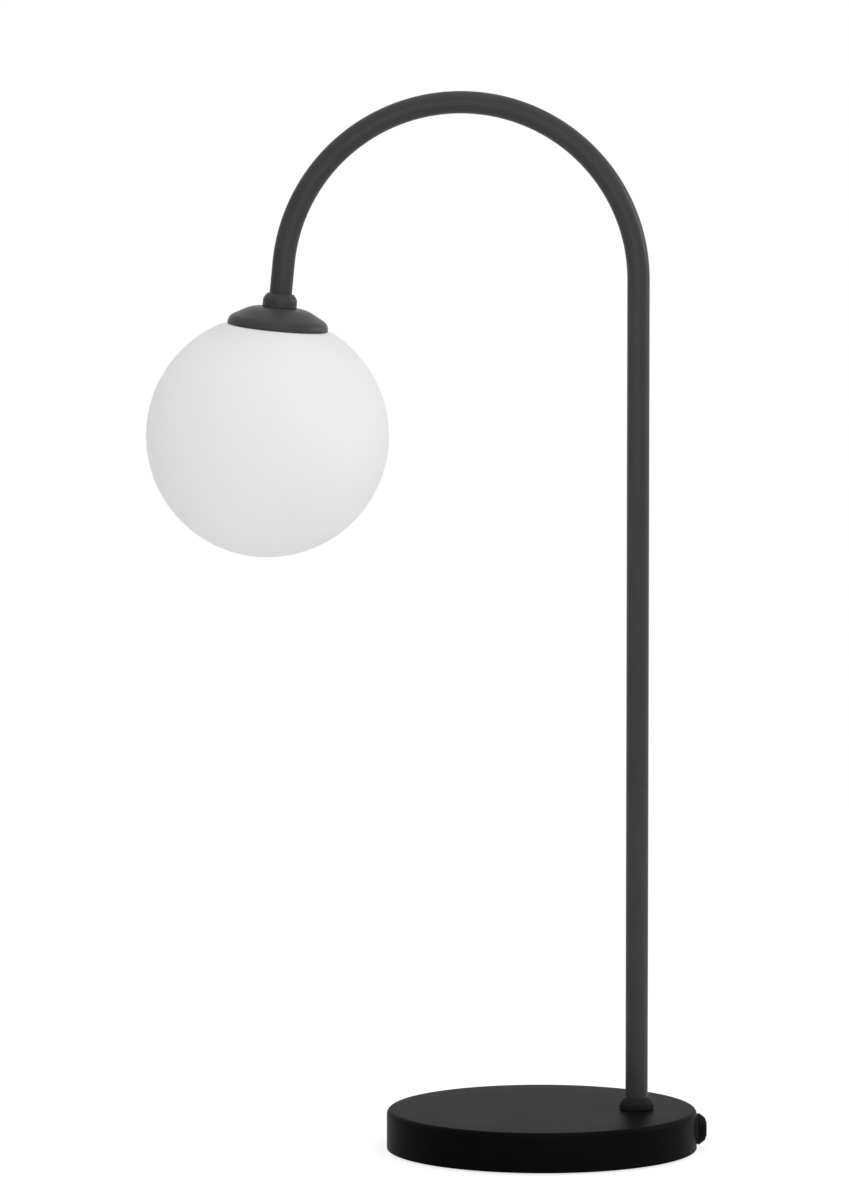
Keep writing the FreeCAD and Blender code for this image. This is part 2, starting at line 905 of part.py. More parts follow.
def foot_cores():
    """The cable's two cores: one to the block and one to the second switch terminal."""
    top = foot_nipple_bottom - cable_overhang - end_gap
    left = stem_offset - core_spacing / 2
    right = stem_offset + core_spacing / 2
    inside = inside_pole(pole_lanes[1])
    neutral = wire([point(left, 0, top), point(left, 0, pole_axis), inside], core_bend)
    tip = tab_tip(1)
    bend = point(right, 0, tip.z)
    beside = point(right, tip.y, tip.z)
    switched = wire([point(right, 0, top), bend, beside, tip], core_bend)
    return Part.makeCompound([neutral, switched])


# Head: cup, carrier and fixings

def dome(inset, bottom, rim_corner):
    """Solid shape of the cup, drawn in from its outer face by the given wall."""
    slope = (cup_height - cup_shoulder_height) / (cup_radius - cup_flat_radius)
    stretch = math.sqrt(1 + slope * slope)
    top = cup_height - inset
    flat = cup_flat_radius - inset * (stretch - 1) / slope
    shoulder = cup_shoulder_height - inset * (stretch - slope)
    radius = cup_radius - inset
    return turned([
        (0, top, 0),
        (flat, top, cup_crown_corner - inset),
        (radius, shoulder, cup_corner - inset),
        (radius, bottom, rim_corner),
        (0, bottom, 0),
    ])


def shade_cup():
    """Shallow spun steel cup that covers the globe's neck."""
    body = dome(0, 0, cup_rim_corner).cut(dome(cup_wall, -overrun, 0))
    hole = rod(thread_radius + hole_gap, carrier_web_bottom, cup_height + overrun)
    return body.cut(hole)


def globe_carrier():
    """Spun carrier that follows the cup's inside and ends in the globe's threaded ring."""
    outer = thread_ring_radius + ring_thread_gap + carrier_wall
    ledge_inner = thread_ring_radius - carrier_ledge_width
    body = dome(cup_wall + seat_skin, carrier_rim_height, 0)
    body = body.common(rod(outer, carrier_rim_height, cup_height))
    thread = rod(thread_ring_radius + ring_thread_gap, -overrun, carrier_ledge_height)
    hollow = turned([
        (0, carrier_rim_height, 0),
        (ledge_inner, carrier_rim_height, 0),
        (ledge_inner, carrier_ledge_height, 0),
        (cup_flat_radius, carrier_web_bottom, 0),
        (0, carrier_web_bottom, 0),
    ])
    hole = rod(thread_radius + hole_gap, 0, cup_height)
    return body.cut(thread).cut(hollow).cut(hole)


# Lampholder

def holder_cap():
    """Moulded cap of the lampholder, screwed on the head nipple."""
    inside = holder_radius - holder_wall
    neck = holder_neck_diameter / 2
    cone_top = holder_top - holder_neck_length
    cone_bottom = cone_top - holder_cone_length
    floor = head_nipple_bottom + end_gap
    return turned([
        (thread_radius, holder_top, 0),
        (neck, holder_top, holder_corner / 2),
        (neck, cone_top, holder_corner),
        (holder_radius, cone_bottom, holder_corner),
        (holder_radius, holder_split, 0),
        (inside, holder_split, 0),
        (inside, cone_bottom - holder_wall, holder_corner),
        (thread_radius, floor, 0),
    ])


def holder_insert():
    """Ceramic insert with the well for the bulb's cap and two terminal screws on its top."""
    radius = holder_radius - holder_wall - end_gap
    body = rod(radius, insert_bottom, insert_top)
    body = body.cut(rod(shell_radius + shell_wall + end_gap, insert_bottom - overrun, well_top))
    for side in (-1, 1):
        spot = side * holder_screw_spacing / 2
        depth = insert_top - holder_screw_length
        hole = rod(holder_screw_diameter / 2 + thread_gap, depth - end_gap, insert_top + overrun, spot)
        body = body.cut(hole)
    return body


def holder_screws():
    """Two terminal screws on the insert."""
    screws = []
    for side in (-1, 1):
        spot = side * holder_screw_spacing / 2
        head_top = insert_top + holder_screw_head_height
        head = rod(holder_screw_head / 2, insert_top, head_top, spot)
        shank = rod(holder_screw_diameter / 2, insert_top - holder_screw_length, head_top, spot)
        slot_half = screw_drive / 8
        low = (spot - holder_screw_head, -slot_half, insert_top + holder_screw_head_height / 2)
        slot = block(low, (spot + holder_screw_head, slot_half, head_top + overrun))
        screws.append(head.fuse(shank).removeSplitter().cut(slot))
    return Part.makeCompound(screws)


def holder_shell():
    """Threaded metal liner that the bulb's cap screws into."""
    top = well_top - shell_drop
    return tube(shell_radius + shell_wall, shell_radius, top - shell_length, top)


def holder_tongue():
    """Centre contact: a strip on the well's ceiling with a raised dimple."""
    bottom = well_top - tongue_thickness
    low = (-tongue_length / 2, -tongue_width / 2, bottom)
    strip = block(low, (tongue_length / 2, tongue_width / 2, well_top))
    dimple = rod(tongue_width / 3, bottom - tongue_bump, well_top)
    return strip.fuse(dimple).removeSplitter()


def holder_skirt():
    """Moulded outer shell of the lampholder with an inward lip at its mouth."""
    inside = holder_radius - holder_wall
    top = holder_split - end_gap
    return turned([
        (inside, top, 0),
        (holder_radius, top, 0),
        (holder_radius, holder_mouth, holder_corner / 2),
        (holder_lip_radius, holder_mouth, 0),
        (holder_lip_radius, holder_mouth + holder_lip_thickness, 0),
        (inside, holder_mouth + holder_lip_thickness, 0),
    ])


def holder_cores():
    """The cable's two cores in the cap, each to its terminal screw."""
    top = head_nipple_bottom - cable_overhang - end_gap
    bottom = insert_top + holder_screw_head_height + end_gap
    middle = (top + bottom) / 2
    cores = []
    for side in (-1, 1):
        near = side * core_spacing / 2
        far = side * holder_screw_spacing / 2
        points = [point(near, 0, top), point(near, 0, middle), point(far, 0, middle), point(far, 0, bottom)]
        cores.append(wire(points, core_bend / 3))
    return Part.makeCompound(cores)


# Globe

def neck_radius():
    """Outer radius of the glass neck, inside its ring."""
    return thread_ring_radius - neck_ring_wall - seat_skin


def globe_glass():
    """Blown opal globe with a flat shoulder and a straight neck."""
    centre = point(0, 0, -globe_drop)
    shoulder = -globe_shoulder_gap
    neck_top = shoulder + neck_height
    outer = globe_bowl(globe_radius, centre, shoulder)
    inner = globe_bowl(globe_radius - globe_wall, centre, shoulder - globe_wall)
    outer = outer.fuse(rod(neck_radius(), shoulder - globe_wall, neck_top))
    bore = neck_radius() - neck_wall
    inner = inner.fuse(rod(bore, shoulder - 2 * globe_wall, neck_top + overrun))
    body = outer.cut(inner).removeSplitter()
    inside_corner = [edge for edge in body.Edges if is_rim(edge, neck_radius(), shoulder)]
    return body.makeFillet(min(neck_corner, neck_height - neck_ring_height), inside_corner)


def globe_bowl(radius, centre, top):
    """Sphere cut flat at the given height, with its cut edge rounded."""
    ball = Part.makeSphere(radius, centre)
    below = rod(radius + overrun, centre.z - radius - overrun, top)
    bowl = ball.common(below)
    cut_radius = math.sqrt(radius ** 2 - (top - centre.z) ** 2)
    edge = [edge for edge in bowl.Edges if is_rim(edge, cut_radius, top)]
    return bowl.makeFillet(globe_shoulder_corner, edge)


def is_rim(edge, radius, height):
    """Whether an edge is the level circle of the given radius and height."""
    box = edge.BoundBox
    level = abs(box.ZMin - height) < thread_gap and abs(box.ZMax - height) < thread_gap
    return level and abs(box.XMax - radius) < thread_gap


def neck_ring():
    """Threaded metal ring bonded round the glass neck."""
    top = neck_height - globe_shoulder_gap
    bottom = top - neck_ring_height
    return tube(thread_ring_radius, neck_radius() + seat_skin, bottom, top)


def seat_washer():
    """Silicone washer between the glass neck and the carrier's ledge."""
    bottom = neck_height - globe_shoulder_gap + seat_gap
    outer = thread_ring_radius - seat_inset
    return tube(outer, neck_radius() - neck_wall + seat_gap, bottom, bottom + seat_thickness)


# Bulb

def bulb_contact():
    """Solder contact on the end of the bulb's cap."""
    radius = bulb_contact_diameter / 2
    bottom = bulb_top - bulb_contact_height
    return turned([
        (0, bulb_top, 0),
        (radius, bulb_top, bulb_contact_height / 2),
        (radius, bottom, 0),
        (0, bottom, 0),
    ])


def bulb_insulator():
    """Dark glass cone between the contact and the cap."""
    top = bulb_top - bulb_contact_height
    return turned([
        (0, top, 0),
        (bulb_contact_diameter / 2, top, 0),
        (bulb_cap_diameter / 2 - bulb_cap_wall, bulb_cap_top, 0),
        (0, bulb_cap_top, 0),
    ])


def bulb_cap():
    """Thin metal screw cap of the bulb."""
    radius = bulb_cap_diameter / 2
    inner = radius - bulb_cap_wall
    return turned([
        (0, bulb_cap_top, 0),
        (radius, bulb_cap_top, bulb_cap_wall),
        (radius, bulb_cap_bottom, 0),
        (inner, bulb_cap_bottom, 0),
        (inner, bulb_cap_top - bulb_cap_wall, 0),
        (0, bulb_cap_top - bulb_cap_wall, 0),
    ])


def bulb_shape(inset, top):
    """Candle shape of the bulb's glass, drawn in by the given wall."""
    neck = bulb_cap_diameter / 2 - bulb_cap_wall - bulb_gap - inset
    tip = bulb_tip + inset
    wide = bulb_diameter / 2 - inset
    wide_start = bulb_cap_bottom - bulb_span * bulb_wide_start_share
    wide_end = bulb_cap_bottom - bulb_span * bulb_wide_end_share
    taper = bulb_cap_bottom - bulb_span * bulb_taper_share
    return turned([
        (0, top, 0),
        (neck, top, 0),
        (neck, bulb_cap_bottom - bulb_neck_length, bulb_diameter / 4),
        (wide, wide_start, bulb_diameter),
        (wide, wide_end, bulb_diameter),
        (wide * bulb_taper_radius_share, taper, bulb_diameter),
        (wide * bulb_tip_radius_share, tip, bulb_diameter / 6),
        (0, tip, 0),
    ])


def bulb_glass():
    """Thin glass envelope of the bulb, sealed into its cap."""
    top = bulb_cap_bottom + bulb_seal
    outer = bulb_shape(0, top)
    return outer.cut(bulb_shape(bulb_glass_wall, top - bulb_glass_wall))


def bulb_mount():
    """Inner stem with a wire cross that carries the filaments at both ends."""
    top = bulb_cap_bottom + bulb_seal - bulb_glass_wall - end_gap
    stem_bottom = bulb_cap_bottom - bulb_seal
    reach = filament_circle / 2
    wire_radius = bulb_wire_diameter / 2
    low = stem_bottom - bulb_seal
    body = rod(bulb_stem_diameter / 2, stem_bottom, top)
    body = body.fuse(rod(wire_radius, low - filament_length - wire_radius, stem_bottom))
    for arm in range(filament_count):
        turn = math.radians(360 * arm / filament_count)
        way = point(math.cos(turn), math.sin(turn), 0)
        for height in (low, low - filament_length):
            spoke = Part.makeCylinder(wire_radius, reach + wire_radius, point(0, 0, height), way)
            body = body.fuse(spoke)
    return body.removeSplitter()


def bulb_filaments():
    """Light-giving rods that stand between the two wire crosses."""
    low = bulb_cap_bottom - 2 * bulb_seal
    gap = bulb_wire_diameter / 2 + end_gap
    rods = []
    for arm in range(filament_count):
        turn = math.radians(360 * arm / filament_count)
        x = filament_circle / 2 * math.cos(turn)
        y = filament_circle / 2 * math.sin(turn)
        rods.append(rod(filament_diameter / 2, low - filament_length + gap, low - gap, x, y))
    return Part.makeCompound(rods)


def all_pieces():
    """Every piece of the lamp by its name, in the lamp's frame."""
    return {
        "base_cover": base_cover(),
        "base_weight": base_weight(),
        "base_plate": base_plate(),
        "plate_screws": plate_screws(),
        "base_pad": base_pad(),
        "foot_collar": at_stem(collar(base_height, foot_collar_height)),
        "foot_nipple": at_stem(nipple(foot_nipple_bottom)),
        "foot_washer": at_stem(toothed_washer(web_bottom)),
        "foot_nut": at_stem(nut(foot_nut_top)),
        "inlet_bushing": inlet_bushing(),
        "inlet_nut": at_inlet(inlet_nut()),
        "switch_bezel": at_switch(switch_bezel()),
        "switch_gasket": switch_gasket(),
        "switch_nut": at_switch(switch_nut()),
        "switch_body": at_switch(switch_body()),
        "switch_tabs": at_switch(switch_tabs()),
        "button_spring": at_switch(button_spring()),
        "push_button": at_switch(button()),
        "terminal_block": terminal_block(),
        "terminal_sleeves": terminal_sleeves(),
        "clamp_screws": clamp_screws(),
        "block_screws": block_screws(),
        "earth_tag": earth_tag(),
        "earth_screw": earth_screw(),
        "earth_lead": earth_lead(),
        "switch_lead": switch_lead(),
        "foot_cores": foot_cores(),
        "stem_tube": stem_tube(),
        "stem_cable": stem_cable(),
        "head_collar": at_head(collar(cup_height, head_collar_height)),
        "head_nipple": at_head(nipple(head_nipple_bottom)),
        "head_washer": at_head(toothed_washer(carrier_web_bottom)),
        "head_nut": at_head(nut(head_nut_top)),
        "shade_cup": at_head(shade_cup()),
        "globe_carrier": at_head(globe_carrier()),
        "holder_cap": at_head(holder_cap()),
        "holder_insert": at_head(holder_insert()),
        "holder_screws": at_head(holder_screws()),
        "holder_shell": at_head(holder_shell()),
        "holder_tongue": at_head(holder_tongue()),
        "holder_skirt": at_head(holder_skirt()),
        "holder_cores": at_head(holder_cores()),
        "seat_washer": at_head(seat_washer()),
        "neck_ring": at_head(neck_ring()),
        "globe_glass": at_head(globe_glass()),
        "bulb_contact": at_head(bulb_contact()),
        "bulb_insulator": at_head(bulb_insulator()),
        "bulb_cap": at_head(bulb_cap()),
        "bulb_glass": at_head(bulb_glass()),
        "bulb_mount": at_head(bulb_mount()),
        "bulb_filaments": at_head(bulb_filaments()),
    }


pieces = all_pieces()
os.makedirs("parts", exist_ok=True)
for name, shape in pieces.items():
    shape.exportStep("parts/" + name + ".step")
    box = shape.BoundBox
    print(name, "solids", len(shape.Solids), "valid", shape.isValid(), "volume", round(shape.Volume, 1))
    print("   from", round(box.XMin, 2), round(box.YMin, 2), round(box.ZMin, 2), end=" ")
    print("to", round(box.XMax, 2), round(box.YMax, 2), round(box.ZMax, 2))
start, down = arch_end()
print("arch ends at", [round(value, 3) for value in start], "and the head hangs along", down)
print("cup rim centre at", [round(value, 3) for value in rim_centre()])
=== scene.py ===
# %% [markdown]
# A table lamp with an arched stem and an opal globe
#
# This notebook dresses a finished CAD model of a table lamp. The CAD model gives every piece its size and
# place, in metres, with the origin on the table under the middle of the base. Blender adds what CAD leaves
# out: smooth surfaces, soft edges, a satin coat, matt opal glass and light. Each step says what the piece
# is on a real lamp and why it is made the way it is.

import json
import math

import bmesh
import bpy
from mathutils import Matrix, Vector


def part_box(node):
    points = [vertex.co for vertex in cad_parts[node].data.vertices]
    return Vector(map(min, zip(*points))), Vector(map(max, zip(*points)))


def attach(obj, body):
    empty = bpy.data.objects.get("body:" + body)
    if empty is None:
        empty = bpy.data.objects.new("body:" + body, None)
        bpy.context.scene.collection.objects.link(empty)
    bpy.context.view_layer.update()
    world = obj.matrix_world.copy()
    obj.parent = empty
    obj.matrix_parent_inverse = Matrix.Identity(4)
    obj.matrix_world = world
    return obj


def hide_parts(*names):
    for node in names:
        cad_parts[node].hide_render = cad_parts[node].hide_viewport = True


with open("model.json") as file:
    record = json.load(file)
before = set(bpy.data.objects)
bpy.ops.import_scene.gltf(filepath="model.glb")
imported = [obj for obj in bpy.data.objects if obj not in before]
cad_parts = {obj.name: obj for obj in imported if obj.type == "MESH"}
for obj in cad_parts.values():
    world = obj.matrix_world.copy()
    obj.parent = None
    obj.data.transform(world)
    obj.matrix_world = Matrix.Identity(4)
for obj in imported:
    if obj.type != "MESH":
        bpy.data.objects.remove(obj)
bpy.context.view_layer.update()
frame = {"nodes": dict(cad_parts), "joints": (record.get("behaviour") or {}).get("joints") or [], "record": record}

# %% [markdown]
# Measures
#
# A piece that replaces a CAD node has to fill the same space, so its main sizes are read from the node's
# box. Walls and corner radii don't show in a box. They are written where the piece is made, in millimetres,
# as a workshop drawing would give them. The head hangs along the axis of the joint that lowers the globe,
# so the lean of everything in the head comes from that joint.

# %% Read the main measures
MM = 0.001

base_low, base_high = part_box("base_cover")
base_radius = base_high.x
collar_low, collar_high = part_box("foot_collar")
stem_x = (collar_low.x + collar_high.x) / 2
collar_radius = (collar_high.y - collar_low.y) / 2
foot_collar_height = (collar_high.z - collar_low.z) / MM
stem_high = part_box("stem_tube")[1]
stem_radius = stem_high.y
globe_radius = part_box("globe_glass")[1].y

joints = {joint["name"]: joint for joint in frame["joints"]}
head_down = Vector(joints["globe_travel"]["axis"]).normalized()
head_lean = math.atan2(-head_down.x, -head_down.z)
rim_centre = Vector(joints["globe_turn"]["pos_m"])

print(f"base {2 * base_radius / MM:.1f} mm across, {base_high.z / MM:.1f} mm high")
print(f"stem {2 * stem_radius / MM:.1f} mm across at x = {stem_x / MM:.1f} mm")
print(f"globe {2 * globe_radius / MM:.1f} mm across, head leaning {math.degrees(head_lean):.2f} degrees")
print("cup rim at", [round(part / MM, 1) for part in rim_centre], "mm")

# %% [markdown]
# Turned pieces
#
# The base, collars, cup, globe, bezel and button were all turned, spun or blown round an axis. Each is
# drawn as half of its cross-section and swept round. A corner in the drawing carries its own radius,
# because a real edge is never perfectly sharp, and the small arc catches the light. Where two arcs meet on
# one short run, each takes a share of that run that matches its radius.

# %% Draw an outline with rounded corners
ARC_STEP = math.radians(6)


def corner_points(before, corner, after, radius, share_before, share_after):
    """Points along the arc that rounds one corner."""
    to_before = before - corner
    to_after = after - corner
    half = to_before.angle(to_after) / 2
    room = min(to_before.length * share_before, to_after.length * share_after)
    reach = min(radius / math.tan(half), room)
    radius = reach * math.tan(half)
    to_before.normalize()
    to_after.normalize()
    centre = corner + (to_before + to_after).normalized() * (radius / math.sin(half))
    start = corner + to_before * reach - centre
    end = corner + to_after * reach - centre
    turn = start.angle_signed(end)
    count = max(2, math.ceil(abs(turn) / ARC_STEP))
    points = []
    for step in range(count + 1):
        points.append(centre + Matrix.Rotation(-turn * step / count, 2) @ start)
    return points


def outline(rows):
    """Closed outline through rows of radius, height and corner radius, all in millimetres."""
    corners = [Vector((row[0], row[1])) for row in rows]
    points = []
    for index, (radius, height, fillet) in enumerate(rows):
        if fillet > 0:
            following = (index + 1) % len(rows)
            share_before = fillet / (fillet + rows[index - 1][2])
            share_after = fillet / (fillet + rows[following][2])
            sides = (corners[index - 1], corners[index], corners[following])
            points += corner_points(*sides, fillet, share_before, share_after)
        else:
            points.append(corners[index])
    return points


right_angle = (Vector((0, 0)), Vector((9, 0)), Vector((9, 9)))
print("a 3 mm corner takes", len(corner_points(*right_angle, 3, 1, 1)), "points")

# %% [markdown]
# The outline runs anticlockwise with the axis on its left, so the faces made from it point outwards
# without any repair. A point on the axis becomes one vertex, which closes the pole.

# %% Turn an outline into a mesh
FACETS = 160
ON_AXIS = 1e-7


def new_piece(name, vertices, faces):
    """Object at the origin from plain lists of vertices and faces."""
    mesh = bpy.data.meshes.new(name)
    mesh.from_pydata(vertices, [], faces)
    mesh.update()
    piece = bpy.data.objects.new(name, mesh)
    bpy.context.scene.collection.objects.link(piece)
    return piece


def turned(name, points, facets=FACETS):
    """Piece turned about the Z axis from outline points in millimetres."""
    vertices = []
    rings = []
    for point in points:
        radius, height = point.x * MM, point.y * MM
        on_axis = radius < ON_AXIS
        rings.append((len(vertices), on_axis))
        for facet in range(1 if on_axis else facets):
            angle = math.tau * facet / facets
            vertices.append((radius * math.cos(angle), radius * math.sin(angle), height))
    faces = []
    for index, (low, low_on_axis) in enumerate(rings):
        high, high_on_axis = rings[(index + 1) % len(rings)]
        if low_on_axis and high_on_axis:
            continue
        for facet in range(facets):
            following = (facet + 1) % facets
            if low_on_axis:
                faces.append((low, high + following, high + facet))
            elif high_on_axis:
                faces.append((low + facet, low + following, high))
            else:
                faces.append((low + facet, low + following, high + following, high + facet))
    return new_piece(name, vertices, faces)


# %% [markdown]
# A finished piece is shaded smooth, and an edge between faces that meet at a sharp angle stays crisp. Then
# it says which CAD node it stands for and which body it moves with.

# %% Finish a shape and tie it to the frame
SHARP_ANGLE = math.radians(32)


def finish_shape(piece, matrix=None):
    """Moves the mesh to its place and shades it smooth, with real edges kept crisp."""
    if matrix is not None:
        piece.data.transform(matrix)
    shape = bmesh.new()
    shape.from_mesh(piece.data)
    for edge in shape.edges:
        edge.smooth = len(edge.link_faces) == 2 and edge.calc_face_angle(0) < SHARP_ANGLE
    for face in shape.faces:
        face.smooth = True
    shape.to_mesh(piece.data)
    shape.free()


def stands_for(piece, body, node):
    """Ties a piece to its body and hides the CAD node that it replaces."""
    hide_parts(node)
    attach(piece, body)
    print(f"{piece.name}: {len(piece.data.polygons)} faces for {node}")


# %% [markdown]
# Four places on the lamp have an axis of their own: the stem, the leaning head, the switch in the base's
# side and the cord inlet at its rear. A piece is turned about Z first and then carried there.

# %% Frames for the pieces
side_height = base_high.z / 2
at_stem = Matrix.Translation((stem_x, 0, 0))
at_head = Matrix.Translation(rim_centre) @ Matrix.Rotation(head_lean, 4, "Y")
at_switch = Matrix.Translation((base_radius, 0, side_height)) @ Matrix.Rotation(math.radians(90), 4, "Y")
at_inlet = Matrix.Translation((0, base_radius, side_height)) @ Matrix.Rotation(math.radians(-90), 4, "X")
print("head hangs along", [round(part, 4) for part in at_head.to_3x3() @ Vector((0, 0, -1))])

# %% [markdown]
# Finishes
#
# Every finish is a Principled shader fed by noise that is read in object coordinates, so it stays on the
# piece when the piece moves. Real surfaces differ from place to place in three ways: a little in colour, a
# little in roughness, and in fine relief. The helpers below add all three to a shader, each at its own
# scale. What is the same all over a surface, such as its specular level, is set on the shader itself.

# %% Wire nodes


def feed(tree, socket, source):
    """Feeds an input from another socket or with a plain value."""
    if isinstance(source, bpy.types.NodeSocket):
        tree.links.new(source, socket)
    else:
        socket.default_value = source


def add_node(tree, kind, inputs, **settings):
    """Adds a node with the given settings and feeds its inputs, each found by its name or number."""
    node = tree.nodes.new(kind)
    for key, value in settings.items():
        setattr(node, key, value)
    for key, source in inputs.items():
        feed(tree, node.inputs[key], source)
    return node


# %% Vary a finish with noise
NOISE_DETAIL = 3.0
# Noise runs from 0 to 1, and most of it lies between these two.
NOISE_LOW, NOISE_HIGH = 0.3, 0.7


def object_coordinates(tree, stretch):
    """Object coordinates, stretched along the axes, as a socket."""
    spot = tree.nodes.new("ShaderNodeTexCoord")
    mapping = add_node(tree, "ShaderNodeMapping", {"Vector": spot.outputs["Object"], "Scale": stretch})
    return mapping.outputs["Vector"]


def noise(tree, place, size_mm):
    """Noise with features of about the given size, as a socket."""
    inputs = {"Vector": place, "Scale": 1 / (size_mm * MM), "Detail": NOISE_DETAIL}
    return add_node(tree, "ShaderNodeTexNoise", inputs).outputs["Fac"]


def colour_between(tree, factor, dark, light):
    """Colour that goes from dark to light with the noise."""
    ramp = add_node(tree, "ShaderNodeValToRGB", {"Fac": factor})
    first, last = ramp.color_ramp.elements
    first.position, last.position = NOISE_LOW, NOISE_HIGH
    first.color, last.color = (*dark, 1), (*light, 1)
    return ramp.outputs["Color"]


def value_between(tree, factor, low, high):
    """Value that goes from low to high with the noise."""
    limits = {"From Min": NOISE_LOW, "From Max": NOISE_HIGH, "To Min": low, "To Max": high}
    return add_node(tree, "ShaderNodeMapRange", {"Value": factor, **limits}).outputs["Result"]


def relief(tree, factor, depth_mm):
    """Normal of fine relief that follows the noise."""
    inputs = {"Height": factor, "Strength": 1.0, "Distance": depth_mm * MM}
    return add_node(tree, "ShaderNodeBump", inputs).outputs["Normal"]


# %% Put a finish together


def surface(name, dark, light, smooth, rough, patch_mm, grain_mm, depth_mm, stretch=(1, 1, 1), **uniform):
    """Finish that varies in colour over patches, and in roughness and relief over its grain."""
    finish = bpy.data.materials.new(name)
    finish.use_nodes = True
    tree = finish.node_tree
    place = object_coordinates(tree, stretch)
    patches = noise(tree, place, patch_mm)
    grain = noise(tree, place, grain_mm)
    varied = {
        "Base Color": colour_between(tree, patches, dark, light),
        "Roughness": value_between(tree, grain, smooth, rough),
        "Normal": relief(tree, grain, depth_mm),
    }
    shader = tree.nodes["Principled BSDF"]
    for name_of_input, source in (varied | uniform).items():
        feed(tree, shader.inputs[name_of_input.replace("_", " ")], source)
    return finish


# %% [markdown]
# Satin black coats
#
# The metal carries a satin powder coat. Powder coat flows as it is baked and keeps a very fine orange-peel
# relief, less than a millimetre across and about a hundredth of a millimetre deep. It is charcoal on the
# stem, the collar and the cup at the head. On the base it is made almost black, and on the collar at the
# foot in between, as painted shade for the dim light low down. None of them mirrors the white room, as a
# coat with the usual index of refraction of 1.5 would, so each has a low index of its own.

# %% Mix the satin black coats
stem_coat = surface(
    "satin_black_stem", dark=(0.042, 0.042, 0.0425), light=(0.048, 0.048, 0.0485),
    smooth=0.34, rough=0.42, patch_mm=30, grain_mm=0.7, depth_mm=0.012, IOR=1.20,
)
# Painted shade: the same coat as the stem, made darker for the dimmer light at the foot.
painted_shade_foot_coat = surface(
    "satin_black_foot_painted_shade", dark=(0.018, 0.018, 0.0182), light=(0.022, 0.022, 0.0222),
    smooth=0.38, rough=0.46, patch_mm=30, grain_mm=0.7, depth_mm=0.008, IOR=1.06,
)
# Painted shade: the same coat as the stem, made almost black for the dim light on the base's side.
painted_shade_base_coat = surface(
    "satin_black_base_painted_shade", dark=(0.0026, 0.0026, 0.0027), light=(0.0038, 0.0038, 0.0039),
    smooth=0.38, rough=0.46, patch_mm=30, grain_mm=0.7, depth_mm=0.008, IOR=1.06,
)
print("coats:", stem_coat.name, painted_shade_foot_coat.name, painted_shade_base_coat.name)

# %% [markdown]
# Matt opal glass
#
# The globe in the photo has no highlight and hardly any shading. That is acid-etched opal glass: a white
# layer in the glass throws some of the light back and lets the rest through, softly, in all directions.
# Inside the globe that light bounces from wall to wall, so the bright side lights the dark side from
# within. A Principled shader gives the part that comes back, a Translucent shader gives the part that goes
# through, and the bounces do the rest. They need a higher limit than Blender's usual four.

# %% Mix the opal glass
LET_THROUGH = 0.80
THROUGH_COLOUR = (0.94, 0.94, 0.94, 1)
WALL_BOUNCES = 12

opal = surface(
    "matt_opal_glass", dark=(0.93, 0.93, 0.93), light=(0.95, 0.95, 0.95),
    smooth=0.55, rough=0.62, patch_mm=60, grain_mm=1.2, depth_mm=0.004, Specular_IOR_Level=0.3,
)
opal_tree = opal.node_tree
back = opal_tree.nodes["Principled BSDF"]
through = add_node(opal_tree, "ShaderNodeBsdfTranslucent", {"Color": THROUGH_COLOUR})
shares = {"Fac": LET_THROUGH, 1: back.outputs[0], 2: through.outputs[0]}
opal_wall = add_node(opal_tree, "ShaderNodeMixShader", shares)
feed(opal_tree, opal_tree.nodes["Material Output"].inputs["Surface"], opal_wall.outputs[0])
bpy.context.scene.cycles.diffuse_bounces = WALL_BOUNCES
bpy.context.scene.cycles.max_bounces = 2 * WALL_BOUNCES
print("opal:", opal.name, "lets through", LET_THROUGH)

# %% [markdown]
# Plastics and rubber
#
# The switch is moulded in black plastic, about as dark as the base and with as low an index of refraction.
# Its gasket and the pad under the base are soft and matt.

# %% Mix the plastics and rubbers
switch_black = surface(
    "switch_black", dark=(0.0040, 0.0040, 0.0042), light=(0.0060, 0.0060, 0.0062),
    smooth=0.34, rough=0.42, patch_mm=8, grain_mm=0.25, depth_mm=0.004, IOR=1.09,
)
bezel_black = surface(
    "bezel_black", dark=(0.0040, 0.0040, 0.0041), light=(0.0060, 0.0060, 0.0061),
    smooth=0.40, rough=0.50, patch_mm=8, grain_mm=0.3, depth_mm=0.006, IOR=1.07,
)
rubber = surface(
    "black_rubber", dark=(0.010, 0.010, 0.010), light=(0.018, 0.018, 0.018),
    smooth=0.70, rough=0.85, patch_mm=4, grain_mm=0.2, depth_mm=0.01, Specular_IOR_Level=0.3,
)
foam = surface(
    "foam_pad", dark=(0.030, 0.030, 0.030), light=(0.055, 0.055, 0.055),
    smooth=0.85, rough=0.95, patch_mm=3, grain_mm=0.4, depth_mm=0.05, Specular_IOR_Level=0.2,
)
print("plastics and rubbers:", switch_black.name, bezel_black.name, rubber.name, foam.name)

# %% [markdown]
# Finishes for the hidden works
#
# Most of what makes the lamp work is out of sight: the cast iron weight, nuts and screws, the terminal
# block, the lampholder and the bulb. The CAD meshes already have their right shape, so they stay and only
# get a finish that suits how each is made: sand-cast, zinc-plated, turned, drawn, moulded, fired or dipped.
# A lathe leaves fine rings, so the grain of the turned metals is squeezed along Z, the axis of most of them.

# %% Mix the finishes of the hidden works
LATHE_STRETCH = (1, 1, 8)

